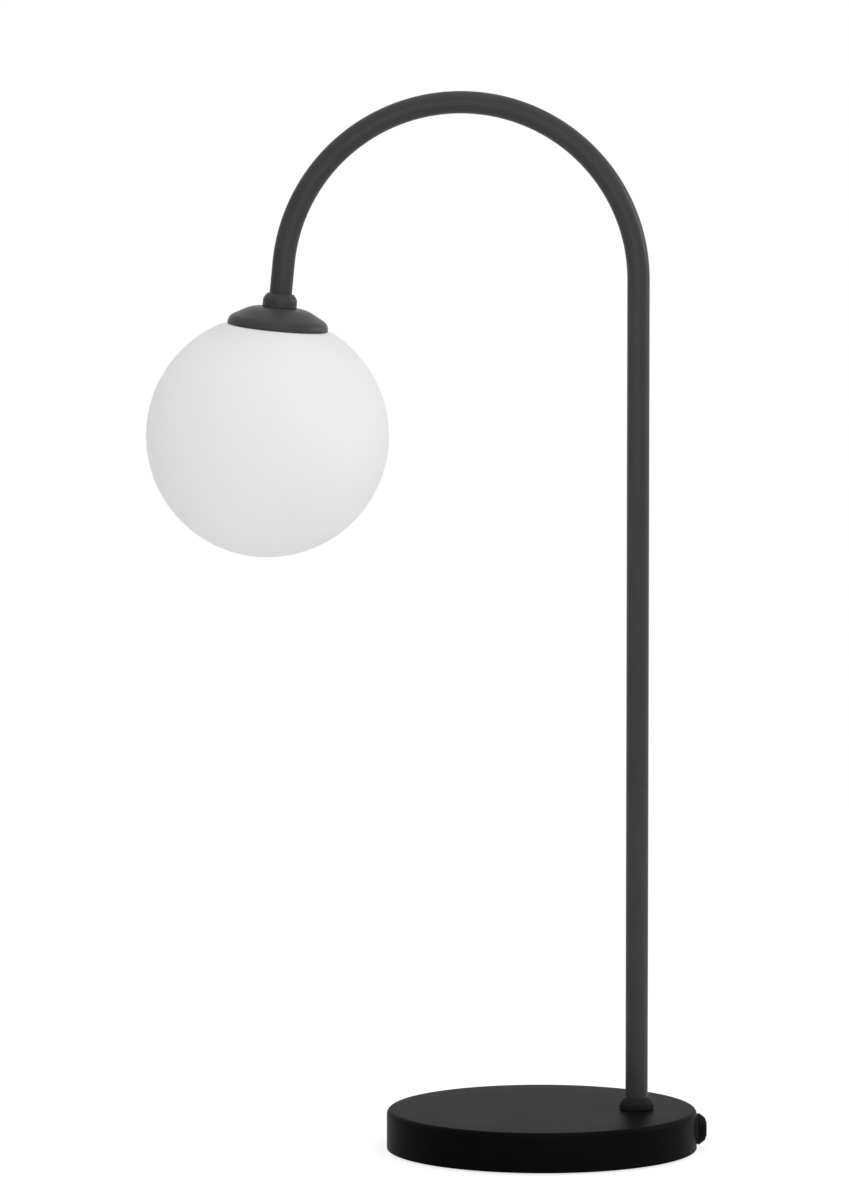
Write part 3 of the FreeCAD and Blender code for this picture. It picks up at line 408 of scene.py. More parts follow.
works = {
    "iron": surface(
        "cast_iron", dark=(0.09, 0.088, 0.085), light=(0.17, 0.165, 0.16),
        smooth=0.62, rough=0.85, patch_mm=12, grain_mm=0.8, depth_mm=0.12, Metallic=1.0,
    ),
    "zinc_steel": surface(
        "zinc_plate", dark=(0.55, 0.56, 0.58), light=(0.68, 0.68, 0.66),
        smooth=0.28, rough=0.45, patch_mm=5, grain_mm=0.5, depth_mm=0.01, Metallic=1.0,
    ),
    "brass": surface(
        "turned_brass", dark=(0.72, 0.55, 0.27), light=(0.82, 0.66, 0.38),
        smooth=0.25, rough=0.38, patch_mm=4, grain_mm=0.3, depth_mm=0.008,
        stretch=LATHE_STRETCH, Metallic=1.0,
    ),
    "ring_aluminium": surface(
        "turned_aluminium", dark=(0.68, 0.69, 0.71), light=(0.80, 0.81, 0.82),
        smooth=0.32, rough=0.46, patch_mm=6, grain_mm=0.3, depth_mm=0.01,
        stretch=LATHE_STRETCH, Metallic=1.0,
    ),
    "spring_steel": surface(
        "spring_wire", dark=(0.42, 0.43, 0.45), light=(0.58, 0.58, 0.60),
        smooth=0.25, rough=0.40, patch_mm=2, grain_mm=0.2, depth_mm=0.004, Metallic=1.0,
    ),
    "black_plastic": surface(
        "moulded_black", dark=(0.018, 0.018, 0.019), light=(0.032, 0.032, 0.033),
        smooth=0.48, rough=0.62, patch_mm=10, grain_mm=0.35, depth_mm=0.012, Specular_IOR_Level=0.4,
    ),
    "switch_plastic": switch_black,
    "white_plastic": surface(
        "moulded_white", dark=(0.76, 0.76, 0.73), light=(0.84, 0.84, 0.82),
        smooth=0.42, rough=0.58, patch_mm=10, grain_mm=0.4, depth_mm=0.01, Subsurface_Weight=0.1,
    ),
    "ceramic": surface(
        "fired_ceramic", dark=(0.78, 0.77, 0.73), light=(0.88, 0.87, 0.84),
        smooth=0.55, rough=0.75, patch_mm=6, grain_mm=0.4, depth_mm=0.02,
    ),
    "dark_glass": surface(
        "fused_dark_glass", dark=(0.02, 0.02, 0.03), light=(0.06, 0.06, 0.07),
        smooth=0.08, rough=0.18, patch_mm=3, grain_mm=0.5, depth_mm=0.005,
    ),
    "clear_glass": surface(
        "clear_bulb_glass", dark=(0.94, 0.96, 0.95), light=(0.98, 0.99, 0.98),
        smooth=0.02, rough=0.05, patch_mm=20, grain_mm=6, depth_mm=0.01, Transmission_Weight=1.0, IOR=1.45,
    ),
    "silicone": surface(
        "white_silicone", dark=(0.74, 0.74, 0.72), light=(0.82, 0.82, 0.80),
        smooth=0.50, rough=0.65, patch_mm=5, grain_mm=0.5, depth_mm=0.01,
        Subsurface_Weight=0.4, Subsurface_Scale=0.003,
    ),
    "black_rubber": rubber,
    "foam_pad": foam,
    "cable_jacket": surface(
        "white_jacket", dark=(0.80, 0.80, 0.77), light=(0.88, 0.88, 0.86),
        smooth=0.40, rough=0.55, patch_mm=15, grain_mm=0.6, depth_mm=0.01,
    ),
    "core_insulation": surface(
        "core_insulation", dark=(0.16, 0.06, 0.025), light=(0.24, 0.10, 0.04),
        smooth=0.35, rough=0.5, patch_mm=5, grain_mm=0.4, depth_mm=0.006,
    ),
    "earth_insulation": surface(
        "earth_insulation", dark=(0.10, 0.32, 0.04), light=(0.62, 0.55, 0.05),
        smooth=0.35, rough=0.5, patch_mm=4, grain_mm=0.4, depth_mm=0.006,
    ),
    "filament": surface(
        "phosphor_rods", dark=(0.85, 0.62, 0.16), light=(0.95, 0.76, 0.28),
        smooth=0.7, rough=0.85, patch_mm=1, grain_mm=0.2, depth_mm=0.01,
    ),
    "black_coat": stem_coat,
    "opal_glass": opal,
}
print("finishes for", len(works), "slots")

# %% [markdown]
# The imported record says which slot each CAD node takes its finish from, so one loop dresses all of them,
# seen or not.

# %% Dress the CAD nodes
slot_of = {subpart["node"]: subpart["material_slot"] for subpart in frame["record"]["subparts"]}
for name, node in frame["nodes"].items():
    node.data.materials.clear()
    node.data.materials.append(works[slot_of[name]])
print("dressed", len(frame["nodes"]), "CAD nodes")

# %% [markdown]
# The base
#
# The base is a pressed steel cover over an iron disc. Its top is flat, its side is upright, and a 3 mm bend
# joins them. The cover's wall is 1.5 mm and its lower rim floats 1 mm above the table. A ring of vertices
# in the flat top runs just outside the hole for the stem, so the long faces that meet the hole don't reach
# the bend. Three holes go through the cover: for the stem, the switch and the cord. They are cut with a
# Boolean modifier, which is the plain way to make a hole through a curved wall, and the modifier is applied
# at once so that the piece stays an ordinary mesh.

# %% Turn the base cover
base_height = base_high.z / MM
rim_lift = base_low.z / MM
cover_radius = base_radius / MM
cover_wall = 1.5
top_bend = 3.0
rim_inner_edge, rim_outer_edge = 0.3, 0.4
top_ring = 0.7 * cover_radius
cover = turned("base_cover_shell", outline([
    (0, base_height - cover_wall, 0),
    (cover_radius - cover_wall, base_height - cover_wall, top_bend - cover_wall),
    (cover_radius - cover_wall, rim_lift, rim_inner_edge),
    (cover_radius, rim_lift, rim_outer_edge),
    (cover_radius, base_height, top_bend),
    (top_ring, base_height, 0),
    (0, base_height, 0),
]), facets=240)
print("cover turned with", len(cover.data.vertices), "vertices")

# %% Cut its three holes
CUT_INWARDS, CUT_OUTWARDS = 4, 2


def apply_modifiers(piece):
    """Replaces a piece's mesh by the result of its modifiers and removes them."""
    evaluated = piece.evaluated_get(bpy.context.evaluated_depsgraph_get())
    result = bpy.data.meshes.new_from_object(evaluated)
    piece.modifiers.clear()
    old = piece.data
    piece.data = result
    result.name = piece.name
    bpy.data.meshes.remove(old)


def cut_hole(piece, hole_radius, level, matrix):
    """Cuts a round hole through the wall at a level of the given frame's Z axis, in millimetres."""
    low, high = level - CUT_INWARDS, level + CUT_OUTWARDS
    corners = [(0, low), (hole_radius, low), (hole_radius, high), (0, high)]
    tool = turned("hole_tool", [Vector(corner) for corner in corners], facets=64)
    tool.data.transform(matrix)
    cut = piece.modifiers.new("hole", "BOOLEAN")
    cut.operation = "DIFFERENCE"
    cut.solver = "EXACT"
    cut.object = tool
    apply_modifiers(piece)
    bpy.data.objects.remove(tool)


switch_hole, inlet_hole, stem_hole = 6.1, 5.1, 5.2
cut_hole(cover, switch_hole, 0, at_switch)
cut_hole(cover, inlet_hole, 0, at_inlet)
cut_hole(cover, stem_hole, base_height, at_stem)
finish_shape(cover)
# The cover takes the near-black coat, which is painted shade.
cover.data.materials.append(painted_shade_base_coat)
stands_for(cover, "stand", "base_cover")

# %% [markdown]
# The foam pad under the bottom plate is what the lamp really stands on. Its lower edge is eased, so the
# base seems to float a hair above the table.

# %% Turn the pad
pad_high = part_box("base_pad")[1]
pad_radius, pad_height = pad_high.x / MM, pad_high.z / MM
pad_lower_edge, pad_upper_edge = 0.6, 0.2
pad = turned("base_foam", outline([
    (0, 0, 0),
    (pad_radius, 0, pad_lower_edge),
    (pad_radius, pad_height, pad_upper_edge),
    (0, pad_height, 0),
]))
finish_shape(pad)
pad.data.materials.append(foam)
stands_for(pad, "stand", "base_pad")

# %% [markdown]
# The stem
#
# The stem is one tube: straight up, round in a single arch, and down a short straight run to the head. A
# shape that follows a rule like this is a good case for Geometry Nodes. The tree walks along the tube's
# centre line. A distance along it is turned into three numbers: how far up the column, how far round the
# arch, and how far down the last run. From these come x and z. The line then becomes a curve, and a circle
# is swept along it.

# %% Build trees with named sizes


class Tree:
    """Geometry Nodes tree with named inputs for its sizes."""

    def __init__(self, name):
        self.group = bpy.data.node_groups.new(name, "GeometryNodeTree")
        self.group.is_modifier = True
        self.group.interface.new_socket("Geometry", in_out="OUTPUT", socket_type="NodeSocketGeometry")
        self.inputs = self.group.nodes.new("NodeGroupInput")

    def size(self, name, kind="NodeSocketFloat"):
        """Adds a named input and returns its socket."""
        self.group.interface.new_socket(name, in_out="INPUT", socket_type=kind)
        return self.inputs.outputs[name]

    def add(self, kind, inputs, **settings):
        """Adds a node with the given settings and feeds its inputs."""
        return add_node(self.group, kind, inputs, **settings)

    def math(self, operation, *sources):
        """Result of a Math node on sockets and plain values."""
        return self.add("ShaderNodeMath", dict(enumerate(sources)), operation=operation).outputs[0]

    def sweep(self, path, steps, radius, finish, caps=False):
        """Sweeps a circle along a path, and ends the tree in Realize Instances and Set Material."""
        sizes = {"Resolution": steps, "Radius": radius}
        circle = self.add("GeometryNodeCurvePrimitiveCircle", sizes, mode="RADIUS")
        curves = {"Curve": path, "Profile Curve": circle.outputs[0], "Fill Caps": caps}
        swept = self.add("GeometryNodeCurveToMesh", curves)
        real = self.add("GeometryNodeRealizeInstances", {"Geometry": swept.outputs[0]})
        dressed = self.add("GeometryNodeSetMaterial", {"Geometry": real.outputs[0], "Material": finish})
        self.add("NodeGroupOutput", {"Geometry": dressed.outputs[0]})


def grow(name, tree, values):
    """Runs a tree on an empty mesh with the given named sizes and keeps the result as a plain mesh."""
    piece = new_piece(name, [], [])
    modifier = piece.modifiers.new("grow", "NODES")
    modifier.node_group = tree.group
    for socket in tree.group.interface.items_tree:
        if socket.in_out == "INPUT":
            modifier[socket.identifier] = values[socket.name]
    apply_modifiers(piece)
    return piece


# %% Build the tube's tree


def bent_tube_tree():
    """Tree of a tube that goes up, round an arch and down again."""
    tree = Tree("bent_tube")
    foot = tree.size("Foot height")
    side = tree.size("Column place")
    column = tree.size("Column length")
    arch = tree.size("Arch radius")
    sweep = tree.size("Arch angle")
    run = tree.size("Last run")
    tube = tree.size("Tube radius")
    count = tree.size("Points along", "NodeSocketInt")
    around = tree.size("Points around", "NodeSocketInt")
    finish = tree.size("Finish", "NodeSocketMaterial")

    arch_length = tree.math("MULTIPLY", arch, sweep)
    total = tree.math("ADD", tree.math("ADD", column, arch_length), run)
    gaps = tree.math("SUBTRACT", count, 1.0)
    index = tree.add("GeometryNodeInputIndex", {}).outputs[0]
    walked = tree.math("DIVIDE", tree.math("MULTIPLY", index, total), gaps)
    up = tree.math("MINIMUM", walked, column)
    past_column = tree.math("MAXIMUM", tree.math("SUBTRACT", walked, column), 0.0)
    angle = tree.math("MINIMUM", tree.math("DIVIDE", past_column, arch), sweep)
    past_arch = tree.math("MAXIMUM", tree.math("SUBTRACT", past_column, arch_length), 0.0)
    sine = tree.math("SINE", angle)
    cosine = tree.math("COSINE", angle)

    inward = tree.math("MULTIPLY", arch, tree.math("SUBTRACT", cosine, 1.0))
    x = tree.math("ADD", side, inward)
    x = tree.math("SUBTRACT", x, tree.math("MULTIPLY", past_arch, sine))
    z = tree.math("ADD", foot, up)
    z = tree.math("ADD", z, tree.math("MULTIPLY", arch, sine))
    z = tree.math("ADD", z, tree.math("MULTIPLY", past_arch, cosine))

    line = tree.add("GeometryNodeMeshLine", {"Count": count}, mode="OFFSET", count_mode="TOTAL")
    spot = tree.add("ShaderNodeCombineXYZ", {"X": x, "Z": z})
    moved = tree.add("GeometryNodeSetPosition", {"Geometry": line.outputs[0], "Position": spot.outputs[0]})
    path = tree.add("GeometryNodeMeshToCurve", {"Mesh": moved.outputs[0]})
    tree.sweep(path.outputs[0], around, tube, finish)
    return tree


tube_tree = bent_tube_tree()
print("tube tree has", len(tube_tree.group.nodes), "nodes")

# %% [markdown]
# The column's length follows from the height of the stem, and the last run from the place of the cup. The
# swept skin has no thickness, and a Solidify modifier gives it the tube's 1.5 mm wall, inwards, so the
# outside stays where the tree put it. Its ends lie inside the collars.

# %% Grow the stem
arch_radius = 102.3 * MM
tube_wall = 1.5 * MM
cup_height = 12.0
column_length = stem_high.z - stem_radius - arch_radius - base_high.z
arch_end = Vector((
    stem_x - arch_radius - arch_radius * math.cos(head_lean),
    0,
    base_high.z + column_length + arch_radius * math.sin(head_lean),
))
last_run = (rim_centre - arch_end).length - cup_height * MM
print(f"column {column_length / MM:.1f} mm, last run {last_run / MM:.1f} mm")

stem = grow("stem_bent_tube", tube_tree, {
    "Foot height": base_high.z,
    "Column place": stem_x,
    "Column length": column_length,
    "Arch radius": arch_radius,
    "Arch angle": math.pi - head_lean,
    "Last run": last_run,
    "Tube radius": stem_radius,
    "Points along": 240,
    "Points around": 64,
    "Finish": stem_coat,
})
wall = stem.modifiers.new("wall", "SOLIDIFY")
wall.thickness = tube_wall
wall.offset = -1
apply_modifiers(stem)
finish_shape(stem)
stands_for(stem, "stand", "stem_tube")
reach_x, reach_z = [max(vertex.co[axis] for vertex in stem.data.vertices) / MM for axis in (0, 2)]
print(f"stem reaches x = {reach_x:.2f} and z = {reach_z:.2f} mm")
print(f"CAD reaches x = {stem_high.x / MM:.2f} and z = {stem_high.z / MM:.2f} mm")

# %% [markdown]
# The collars
#
# A small turned collar hides the nut at each end of the stem. Both have a straight wall, a long rounded
# shoulder and a bore that fits the tube. The one at the foot is a little lower.

# %% Turn the two collars
sliding_fit = 0.05
collar_bore = stem_radius / MM + sliding_fit
head_collar_height = 8.0
collar_lower_edge = 0.4
collar_shoulder_drop, collar_shoulder_curve = 3.0, 5.0
collar_top_radius, collar_top_curve = 7.5, 2.0


def collar(name, bottom, height):
    """Collar of the given height that stands on the given level."""
    width = collar_radius / MM
    top = bottom + height
    return turned(name, outline([
        (collar_bore, bottom, 0),
        (width, bottom, collar_lower_edge),
        (width, top - collar_shoulder_drop, collar_shoulder_curve),
        (collar_top_radius, top, collar_top_curve),
        (collar_bore, top, 0),
    ]), facets=96)


foot_collar = collar("foot_collar_turned", base_height, foot_collar_height)
finish_shape(foot_collar, at_stem)
# The foot collar takes the darker coat, which is painted shade.
foot_collar.data.materials.append(painted_shade_foot_coat)
stands_for(foot_collar, "stand", "foot_collar")

head_collar = collar("head_collar_turned", cup_height, head_collar_height)
finish_shape(head_collar, at_head)
head_collar.data.materials.append(stem_coat)
stands_for(head_collar, "stand", "head_collar")

# %% [markdown]
# The cup
#
# The cup over the globe is spun from thin steel: a flat where the collar sits, a shallow cone, and a
# tighter curve into a short upright rim with a rounded edge. Its outline is drawn twice, outside and
# inside, a wall apart, so the rim shows its real thickness from below.

# %% Spin the cup
cup_radius, cup_wall = 29.1, 1.2
cup_flat, cup_shoulder = 15.4, 4.5
crown_curve, cup_shoulder_curve = 20.0, 5.7
cup_outer_edge, cup_inner_edge = 0.9, 0.25
slope = (cup_height - cup_shoulder) / (cup_radius - cup_flat)
lengthening = math.hypot(1, slope)
inner_flat = cup_flat - cup_wall * (lengthening - 1) / slope
inner_shoulder = cup_shoulder - cup_wall * (lengthening - slope)
cup = turned("cup_spun", outline([
    (stem_hole, cup_height - cup_wall, 0),
    (inner_flat, cup_height - cup_wall, crown_curve - cup_wall),
    (cup_radius - cup_wall, inner_shoulder, cup_shoulder_curve - cup_wall),
    (cup_radius - cup_wall, 0, cup_inner_edge),
    (cup_radius, 0, cup_outer_edge),
    (cup_radius, cup_shoulder, cup_shoulder_curve),
    (cup_flat, cup_height, crown_curve),
    (stem_hole, cup_height, 0),
]))
finish_shape(cup, at_head)
cup.data.materials.append(stem_coat)
stands_for(cup, "stand", "shade_cup")

# %% [markdown]
# The globe
#
# The globe is blown glass with a 2.2 mm wall. It is a true sphere below, with a flat shoulder under the cup
# and a straight neck that the threaded ring is bonded to. The outline is one closed line, up the outside and
# down the inside, so the mesh is a real hollow vessel and light can pass through its wall.

# %% Blow the globe
SPHERE_STEPS, SHOULDER_STEPS = 72, 8

sphere = globe_radius / MM
globe_wall = 2.2
shoulder = -0.4
shoulder_corner = 3.0
shoulder_reach = 32.1
neck_outer, neck_bore = 22.1, 19.6
neck_top, neck_edge = 3.5, 0.5
drop = -shoulder + math.sqrt(sphere ** 2 - shoulder_reach ** 2)


def bowl(radius, top):
    """Points from the sphere's foot up to its rounded shoulder."""
    inside = radius - shoulder_corner
    lift = top - shoulder_corner + drop
    reach = math.sqrt(inside ** 2 - lift ** 2)
    end = math.atan2(reach, -lift)
    points = []
    for step in range(SPHERE_STEPS + 1):
        angle = end * step / SPHERE_STEPS
        points.append(Vector((radius * math.sin(angle), -drop - radius * math.cos(angle))))
    centre = Vector((reach, top - shoulder_corner))
    start = end - math.pi / 2
    for step in range(1, SHOULDER_STEPS + 1):
        angle = start + (math.pi / 2 - start) * step / SHOULDER_STEPS
        points.append(centre + shoulder_corner * Vector((math.cos(angle), math.sin(angle))))
    return points


outer_skin = bowl(sphere, shoulder)
inner_skin = bowl(sphere - globe_wall, shoulder - globe_wall)
neck = outline([
    (neck_outer, shoulder, 0),
    (neck_outer, neck_top, neck_edge),
    (neck_bore, neck_top, neck_edge),
    (neck_bore, shoulder - globe_wall, 0),
])
globe = turned("globe_blown", outer_skin + neck + inner_skin[::-1])
finish_shape(globe, at_head)
globe.data.materials.append(opal)
stands_for(globe, "globe", "globe_glass")

# %% [markdown]
# The neck ring
#
# The ring round the globe's neck carries a thread with a pitch of 1 mm. It shows only while the globe is
# screwed out of the cup. A thread follows a path, a helix round the ring, so Geometry Nodes sweep a small
# ridge along a spiral. The ring under it is turned a little smaller, so that the crests reach the real size.

# %% Build the thread's tree
RIDGE_SIDES = 8


def thread_tree():
    """Tree of a ridge that winds round a ring."""
    tree = Tree("thread_ridge")
    crest = tree.size("Ridge centre radius")
    pitch = tree.size("Pitch")
    turns = tree.size("Turns")
    start = tree.size("Start height")
    width = tree.size("Ridge radius")
    steps = tree.size("Points a turn", "NodeSocketInt")
    finish = tree.size("Finish", "NodeSocketMaterial")

    spiral = tree.add("GeometryNodeCurveSpiral", {
        "Resolution": steps,
        "Rotations": turns,
        "Start Radius": crest,
        "End Radius": crest,
        "Height": tree.math("MULTIPLY", pitch, turns),
    })
    lift = tree.add("ShaderNodeCombineXYZ", {"Z": start})
    raised = tree.add("GeometryNodeSetPosition", {"Geometry": spiral.outputs[0], "Offset": lift.outputs[0]})
    tree.sweep(raised.outputs[0], RIDGE_SIDES, width, finish, caps=True)
    return tree


ridge_tree = thread_tree()
print("thread tree has", len(ridge_tree.group.nodes), "nodes")

# %% Make the ring and its thread
glue_gap = 0.05
ring_bore, ring_radius = neck_outer + glue_gap, 24.0
ring_bottom, ring_top = 0.0, 3.5
ring_lower_edge, ring_upper_edge = 0.2, 0.3
ridge = 0.3
ridge_start = 0.45
thread_pitch = 1.0
ring = turned("neck_ring_turned", outline([
    (ring_bore, ring_bottom, 0),
    (ring_radius - ridge, ring_bottom, ring_lower_edge),
    (ring_radius - ridge, ring_top, ring_upper_edge),
    (ring_bore, ring_top, 0),
]))
finish_shape(ring, at_head)
ring.data.materials.append(works["ring_aluminium"])
stands_for(ring, "globe", "neck_ring")

thread = grow("neck_ring_thread", ridge_tree, {
    "Ridge centre radius": (ring_radius - ridge) * MM,
    "Pitch": thread_pitch * MM,
    "Turns": 2.6,
    "Start height": (ring_bottom + ridge_start) * MM,
    "Ridge radius": ridge * MM,
    "Points a turn": 96,
    "Finish": works["ring_aluminium"],
})
finish_shape(thread, at_head)
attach(thread, "globe")
print("thread:", len(thread.data.polygons), "faces")

# %% [markdown]
# The push switch
#
# A round, domed bezel sits on the base's side with a thin rubber gasket behind it. The wall is curved and
# the bezel is flat, so the gasket's back is fitted to the wall. The button stands half a millimetre proud
# and its face is slightly dished, as a finger expects.

# %% Turn the gasket
WALL_GAP = 0.03


def seat_on_wall(piece, across, beyond=0):
    """Moves the vertices behind the base's wall out onto it.

    across is the sideways axis, and vertices within beyond millimetres of the piece's own axis stay.
    """
    along = 1 - across
    wall_radius = base_radius + WALL_GAP * MM
    for vertex in piece.data.vertices:
        reach = math.hypot(vertex.co[across], vertex.co.z - side_height)
        skin = math.sqrt(wall_radius ** 2 - vertex.co[across] ** 2)
        if reach > beyond * MM:
            vertex.co[along] = max(vertex.co[along], skin)


gasket_bore, gasket_radius = 6.15, 8.9
gasket_back, gasket_front = -0.5, 0.8
gasket_edge = 0.25
gasket = turned("switch_gasket_ring", outline([
    (gasket_bore, gasket_back, 0),
    (gasket_radius, gasket_back, 0),
    (gasket_radius, gasket_front, gasket_edge),
    (gasket_bore, gasket_front, 0),
]), facets=96)
finish_shape(gasket, at_switch)
seat_on_wall(gasket, across=1)
gasket.data.materials.append(rubber)
stands_for(gasket, "stand", "switch_gasket")

# %% Turn the bezel
bezel_bore, bezel_radius = 4.9, 9.2
bezel_side, bezel_front = 1.3, 5.2
barrel_radius, barrel_end, barrel_edge = 6.05, -10, 0.3
crown_radius = 6.3
back_edge, dome_curve, mouth_curve, mouth_edge = 0.1, 2.0, 3.2, 0.15
bezel = turned("switch_bezel_turned", outline([
    (bezel_bore, barrel_end, 0),
    (barrel_radius, barrel_end, barrel_edge),
    (barrel_radius, gasket_front, 0),
    (bezel_radius, gasket_front, back_edge),
    (bezel_radius, bezel_side, dome_curve),
    (crown_radius, bezel_front, mouth_curve),
    (bezel_bore, bezel_front, mouth_edge),
]), facets=128)
finish_shape(bezel, at_switch)
bezel.data.materials.append(bezel_black)
stands_for(bezel, "stand", "switch_bezel")

# %% Turn the button
button_low, button_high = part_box("push_button")
shaft_end = (button_low.x - base_radius) / MM
button_face = (button_high.x - base_radius) / MM
shaft_radius, shaft_edge = 2.5, 0.3
button_radius, button_back = 4.8, -1.99
button_back_edge, button_front_edge = 0.2, 0.8
dish_depth = 0.35
dish_radius, dish_edge = 3.6, 0.6
dish_floor, dish_curve = 1.4, 4.0
button = turned("push_button_dished", outline([
    (0, shaft_end, 0),
    (shaft_radius, shaft_end, shaft_edge),
    (shaft_radius, button_back, 0),
    (button_radius, button_back, button_back_edge),
    (button_radius, button_face, button_front_edge),
    (dish_radius, button_face, dish_edge),
    (dish_floor, button_face - dish_depth, dish_curve),
    (0, button_face - dish_depth, 0),
]), facets=128)
finish_shape(button, at_switch)
button.data.materials.append(switch_black)
stands_for(button, "button", "push_button")

# %% [markdown]
# The cord inlet
#
# A flanged bushing in the rear wall has an open bore for a supply cord. The photo shows no cord, so none is
# made. The back of its flange is fitted to the wall, as the gasket's is.

# %% Turn the inlet bushing
cord_bore, bushing_radius = 3.2, 5.05
bushing_end, bushing_edge = -11, 0.3
flange_radius, flange_back, flange_front = 7.0, -0.5, 2.2
flange_edge, inlet_edge = 1.0, 0.5
tolerance = 0.01
bushing = turned("inlet_bushing_turned", outline([
    (cord_bore, bushing_end, bushing_edge),
    (bushing_radius, bushing_end, bushing_edge),
    (bushing_radius, flange_back, 0),
    (flange_radius, flange_back, 0),
    (flange_radius, flange_front, flange_edge),
    (cord_bore, flange_front, inlet_edge),
]), facets=96)
finish_shape(bushing, at_inlet)
seat_on_wall(bushing, across=0, beyond=bushing_radius + tolerance)
bushing.data.materials.append(bezel_black)
stands_for(bushing, "stand", "inlet_bushing")

# %% [markdown]
# The floor
#
# The photo's background is plain white, with hardly a shadow. The floor is pale. For the camera, for
# reflections and for light through glass, most of its brightness is a glow of its own, which no shadow
# takes away. The rest still comes from the lights, so the shadow stays, only fainter. Far from the lamp the
# floor goes over into the white of the world.

# %% Lay the floor
FLOOR_SIZE = 60.0

half = FLOOR_SIZE / 2
corners = [(-half, -half, 0), (half, -half, 0), (half, half, 0), (-half, half, 0)]
floor = new_piece("floor", corners, [(0, 1, 2, 3)])
print("floor is", FLOOR_SIZE, "m wide")

# %% Paint the floor
FLOOR_COLOUR = 0.90
FLOOR_SEEN = 0.30
FLOOR_GLOW = 0.74
FADE_START, FADE_END = 0.5, 1.6


def seen_directly(tree):
    """Socket that is 1 for camera, glossy and transmission rays and 0 for others."""
    path = tree.nodes.new("ShaderNodeLightPath")
    seen = path.outputs["Is Camera Ray"]
    for ray in ("Is Glossy Ray", "Is Transmission Ray"):
        either = add_node(tree, "ShaderNodeMath", {0: seen, 1: path.outputs[ray]}, operation="MAXIMUM")
        seen = either.outputs[0]
    return seen


pale = bpy.data.materials.new("pale_floor")
pale.use_nodes = True
pale_tree = pale.node_tree
pale_tree.nodes.remove(pale_tree.nodes["Principled BSDF"])
seen = seen_directly(pale_tree)

shades = {"Value": seen, "To Min": FLOOR_COLOUR, "To Max": FLOOR_SEEN}
shade = add_node(pale_tree, "ShaderNodeMapRange", shades)
matt = add_node(pale_tree, "ShaderNodeBsdfDiffuse", {"Color": shade.outputs["Result"]})
strength = add_node(pale_tree, "ShaderNodeMath", {0: seen, 1: FLOOR_GLOW}, operation="MULTIPLY")
glow = add_node(pale_tree, "ShaderNodeEmission", {"Strength": strength.outputs[0]})
near = add_node(pale_tree, "ShaderNodeAddShader", {0: matt.outputs[0], 1: glow.outputs[0]})
far = add_node(pale_tree, "ShaderNodeEmission", {"Strength": seen})

spot = pale_tree.nodes.new("ShaderNodeTexCoord")
distance = add_node(pale_tree, "ShaderNodeVectorMath", {0: spot.outputs["Object"]}, operation="LENGTH")
fade = add_node(pale_tree, "ShaderNodeMapRange", {
    "Value": distance.outputs["Value"],
    "From Min": FADE_START,
    "From Max": FADE_END,
}, interpolation_type="SMOOTHSTEP")
ends = {"Fac": fade.outputs["Result"], 1: near.outputs[0], 2: far.outputs[0]}
whole = add_node(pale_tree, "ShaderNodeMixShader", ends)
feed(pale_tree, pale_tree.nodes["Material Output"].inputs["Surface"], whole.outputs[0])
floor.data.materials.append(pale)
print("floor fades to white from", FADE_START, "to", FADE_END, "m")

# %% [markdown]
# Light
#
# The stem in the photo is lighter at the top than near the base, and lighter on its right than on its left.
# A soft light close in front of the upper half falls off towards the base, one on the right, further away,
# lights that side, and a weak one hangs overhead. The world adds a plain level of light from all round,
# with more of it from overhead, and is white where it is seen.

# %% Set the world
HORIZON_LIGHT, ZENITH_LIGHT = 0.26, 1.5
SEEN_LIGHT = 1.0
SOFTBOX_EDGE, SOFTBOX_CORE = 0.45, 0.95
WHITE = (1, 1, 1, 1)

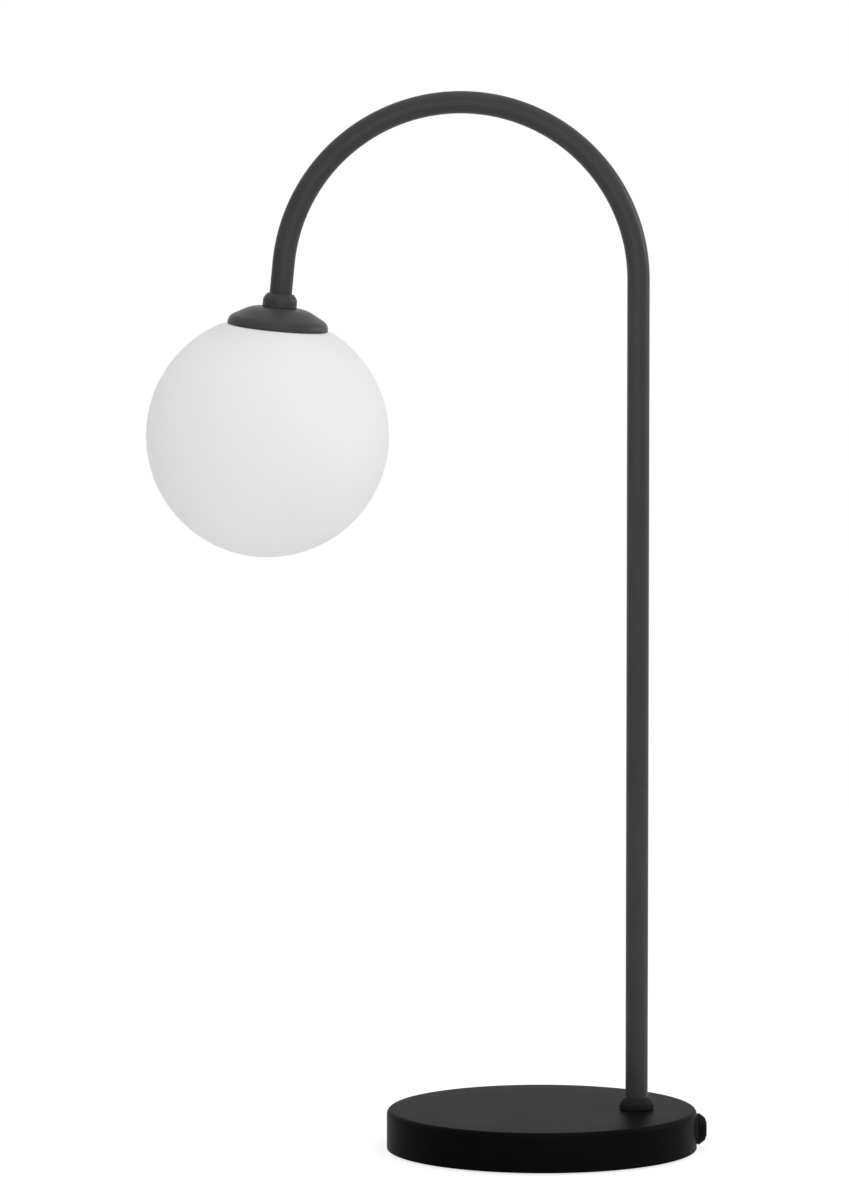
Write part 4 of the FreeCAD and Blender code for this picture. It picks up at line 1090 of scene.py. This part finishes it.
world = bpy.data.worlds.new("studio")
bpy.context.scene.world = world
world.use_nodes = True
sky = world.node_tree
direction = sky.nodes.new("ShaderNodeTexCoord")
height = add_node(sky, "ShaderNodeSeparateXYZ", {"Vector": direction.outputs["Generated"]})
dome = add_node(sky, "ShaderNodeMapRange", {
    "Value": height.outputs["Z"],
    "From Min": SOFTBOX_EDGE,
    "From Max": SOFTBOX_CORE,
    "To Min": HORIZON_LIGHT,
    "To Max": ZENITH_LIGHT,
}, interpolation_type="SMOOTHSTEP")
brightness = add_node(sky, "ShaderNodeMapRange", {
    "Value": seen_directly(sky),
    "To Min": dome.outputs["Result"],
    "To Max": SEEN_LIGHT,
})
room = sky.nodes["Background"]
feed(sky, room.inputs["Color"], WHITE)
feed(sky, room.inputs["Strength"], brightness.outputs["Result"])
print("room light from", HORIZON_LIGHT, "at the horizon to", ZENITH_LIGHT, "overhead")

# %% Hang the lights


def aimed(place, looking):
    """Matrix that stands at a place and looks in a direction, upright."""
    return Matrix.Translation(place) @ looking.to_track_quat("-Z", "Y").to_matrix().to_4x4()


def soft_light(name, place, target, width, watts):
    """Square area light that faces a point."""
    light = bpy.data.lights.new(name, "AREA")
    light.shape = "SQUARE"
    light.size = width
    light.energy = watts
    hung = bpy.data.objects.new(name, light)
    bpy.context.scene.collection.objects.link(hung)
    hung.matrix_world = aimed(place, Vector(target) - Vector(place))
    print(f"{name}: {watts} W, {width} m wide")


soft_light("front_softbox", place=(-0.02, -0.60, 0.62), target=(-0.02, 0, 0.42), width=0.5, watts=1.75)
soft_light("overhead_softbox", place=(-0.05, -0.10, 1.50), target=(-0.05, 0, 0.6), width=0.6, watts=1.0)
soft_light("right_softbox", place=(1.6, 0.3, 0.9), target=(0, 0, 0.35), width=0.8, watts=12.5)

# %% [markdown]
# Camera
#
# The photo was taken with a long lens from five metres and a half, looking down by six degrees. These
# numbers were fitted to the ellipses of the base and of the cup's rim and to the upright of the stem.

# %% Set up the camera
DISTANCE = 5.5
TILT = math.radians(6.19)
TARGET = Vector((-0.0681, 0, 0.3209))
PIXELS_PER_METRE = 1732.4
FRAME_HEIGHT = 1200
SENSOR_WIDTH = 36.0
FARTHEST_SEEN = 200

camera = bpy.data.objects.new("camera", bpy.data.cameras.new("camera"))
bpy.context.scene.collection.objects.link(camera)
camera.data.sensor_width = SENSOR_WIDTH
camera.data.lens = PIXELS_PER_METRE * DISTANCE / FRAME_HEIGHT * SENSOR_WIDTH
camera.data.clip_end = FARTHEST_SEEN
looking = Vector((0, math.cos(TILT), -math.sin(TILT)))
camera.matrix_world = aimed(TARGET - looking * DISTANCE, looking)
bpy.context.scene.camera = camera
bpy.context.scene.view_settings.view_transform = "Standard"
print(f"lens {camera.data.lens:.1f} mm")
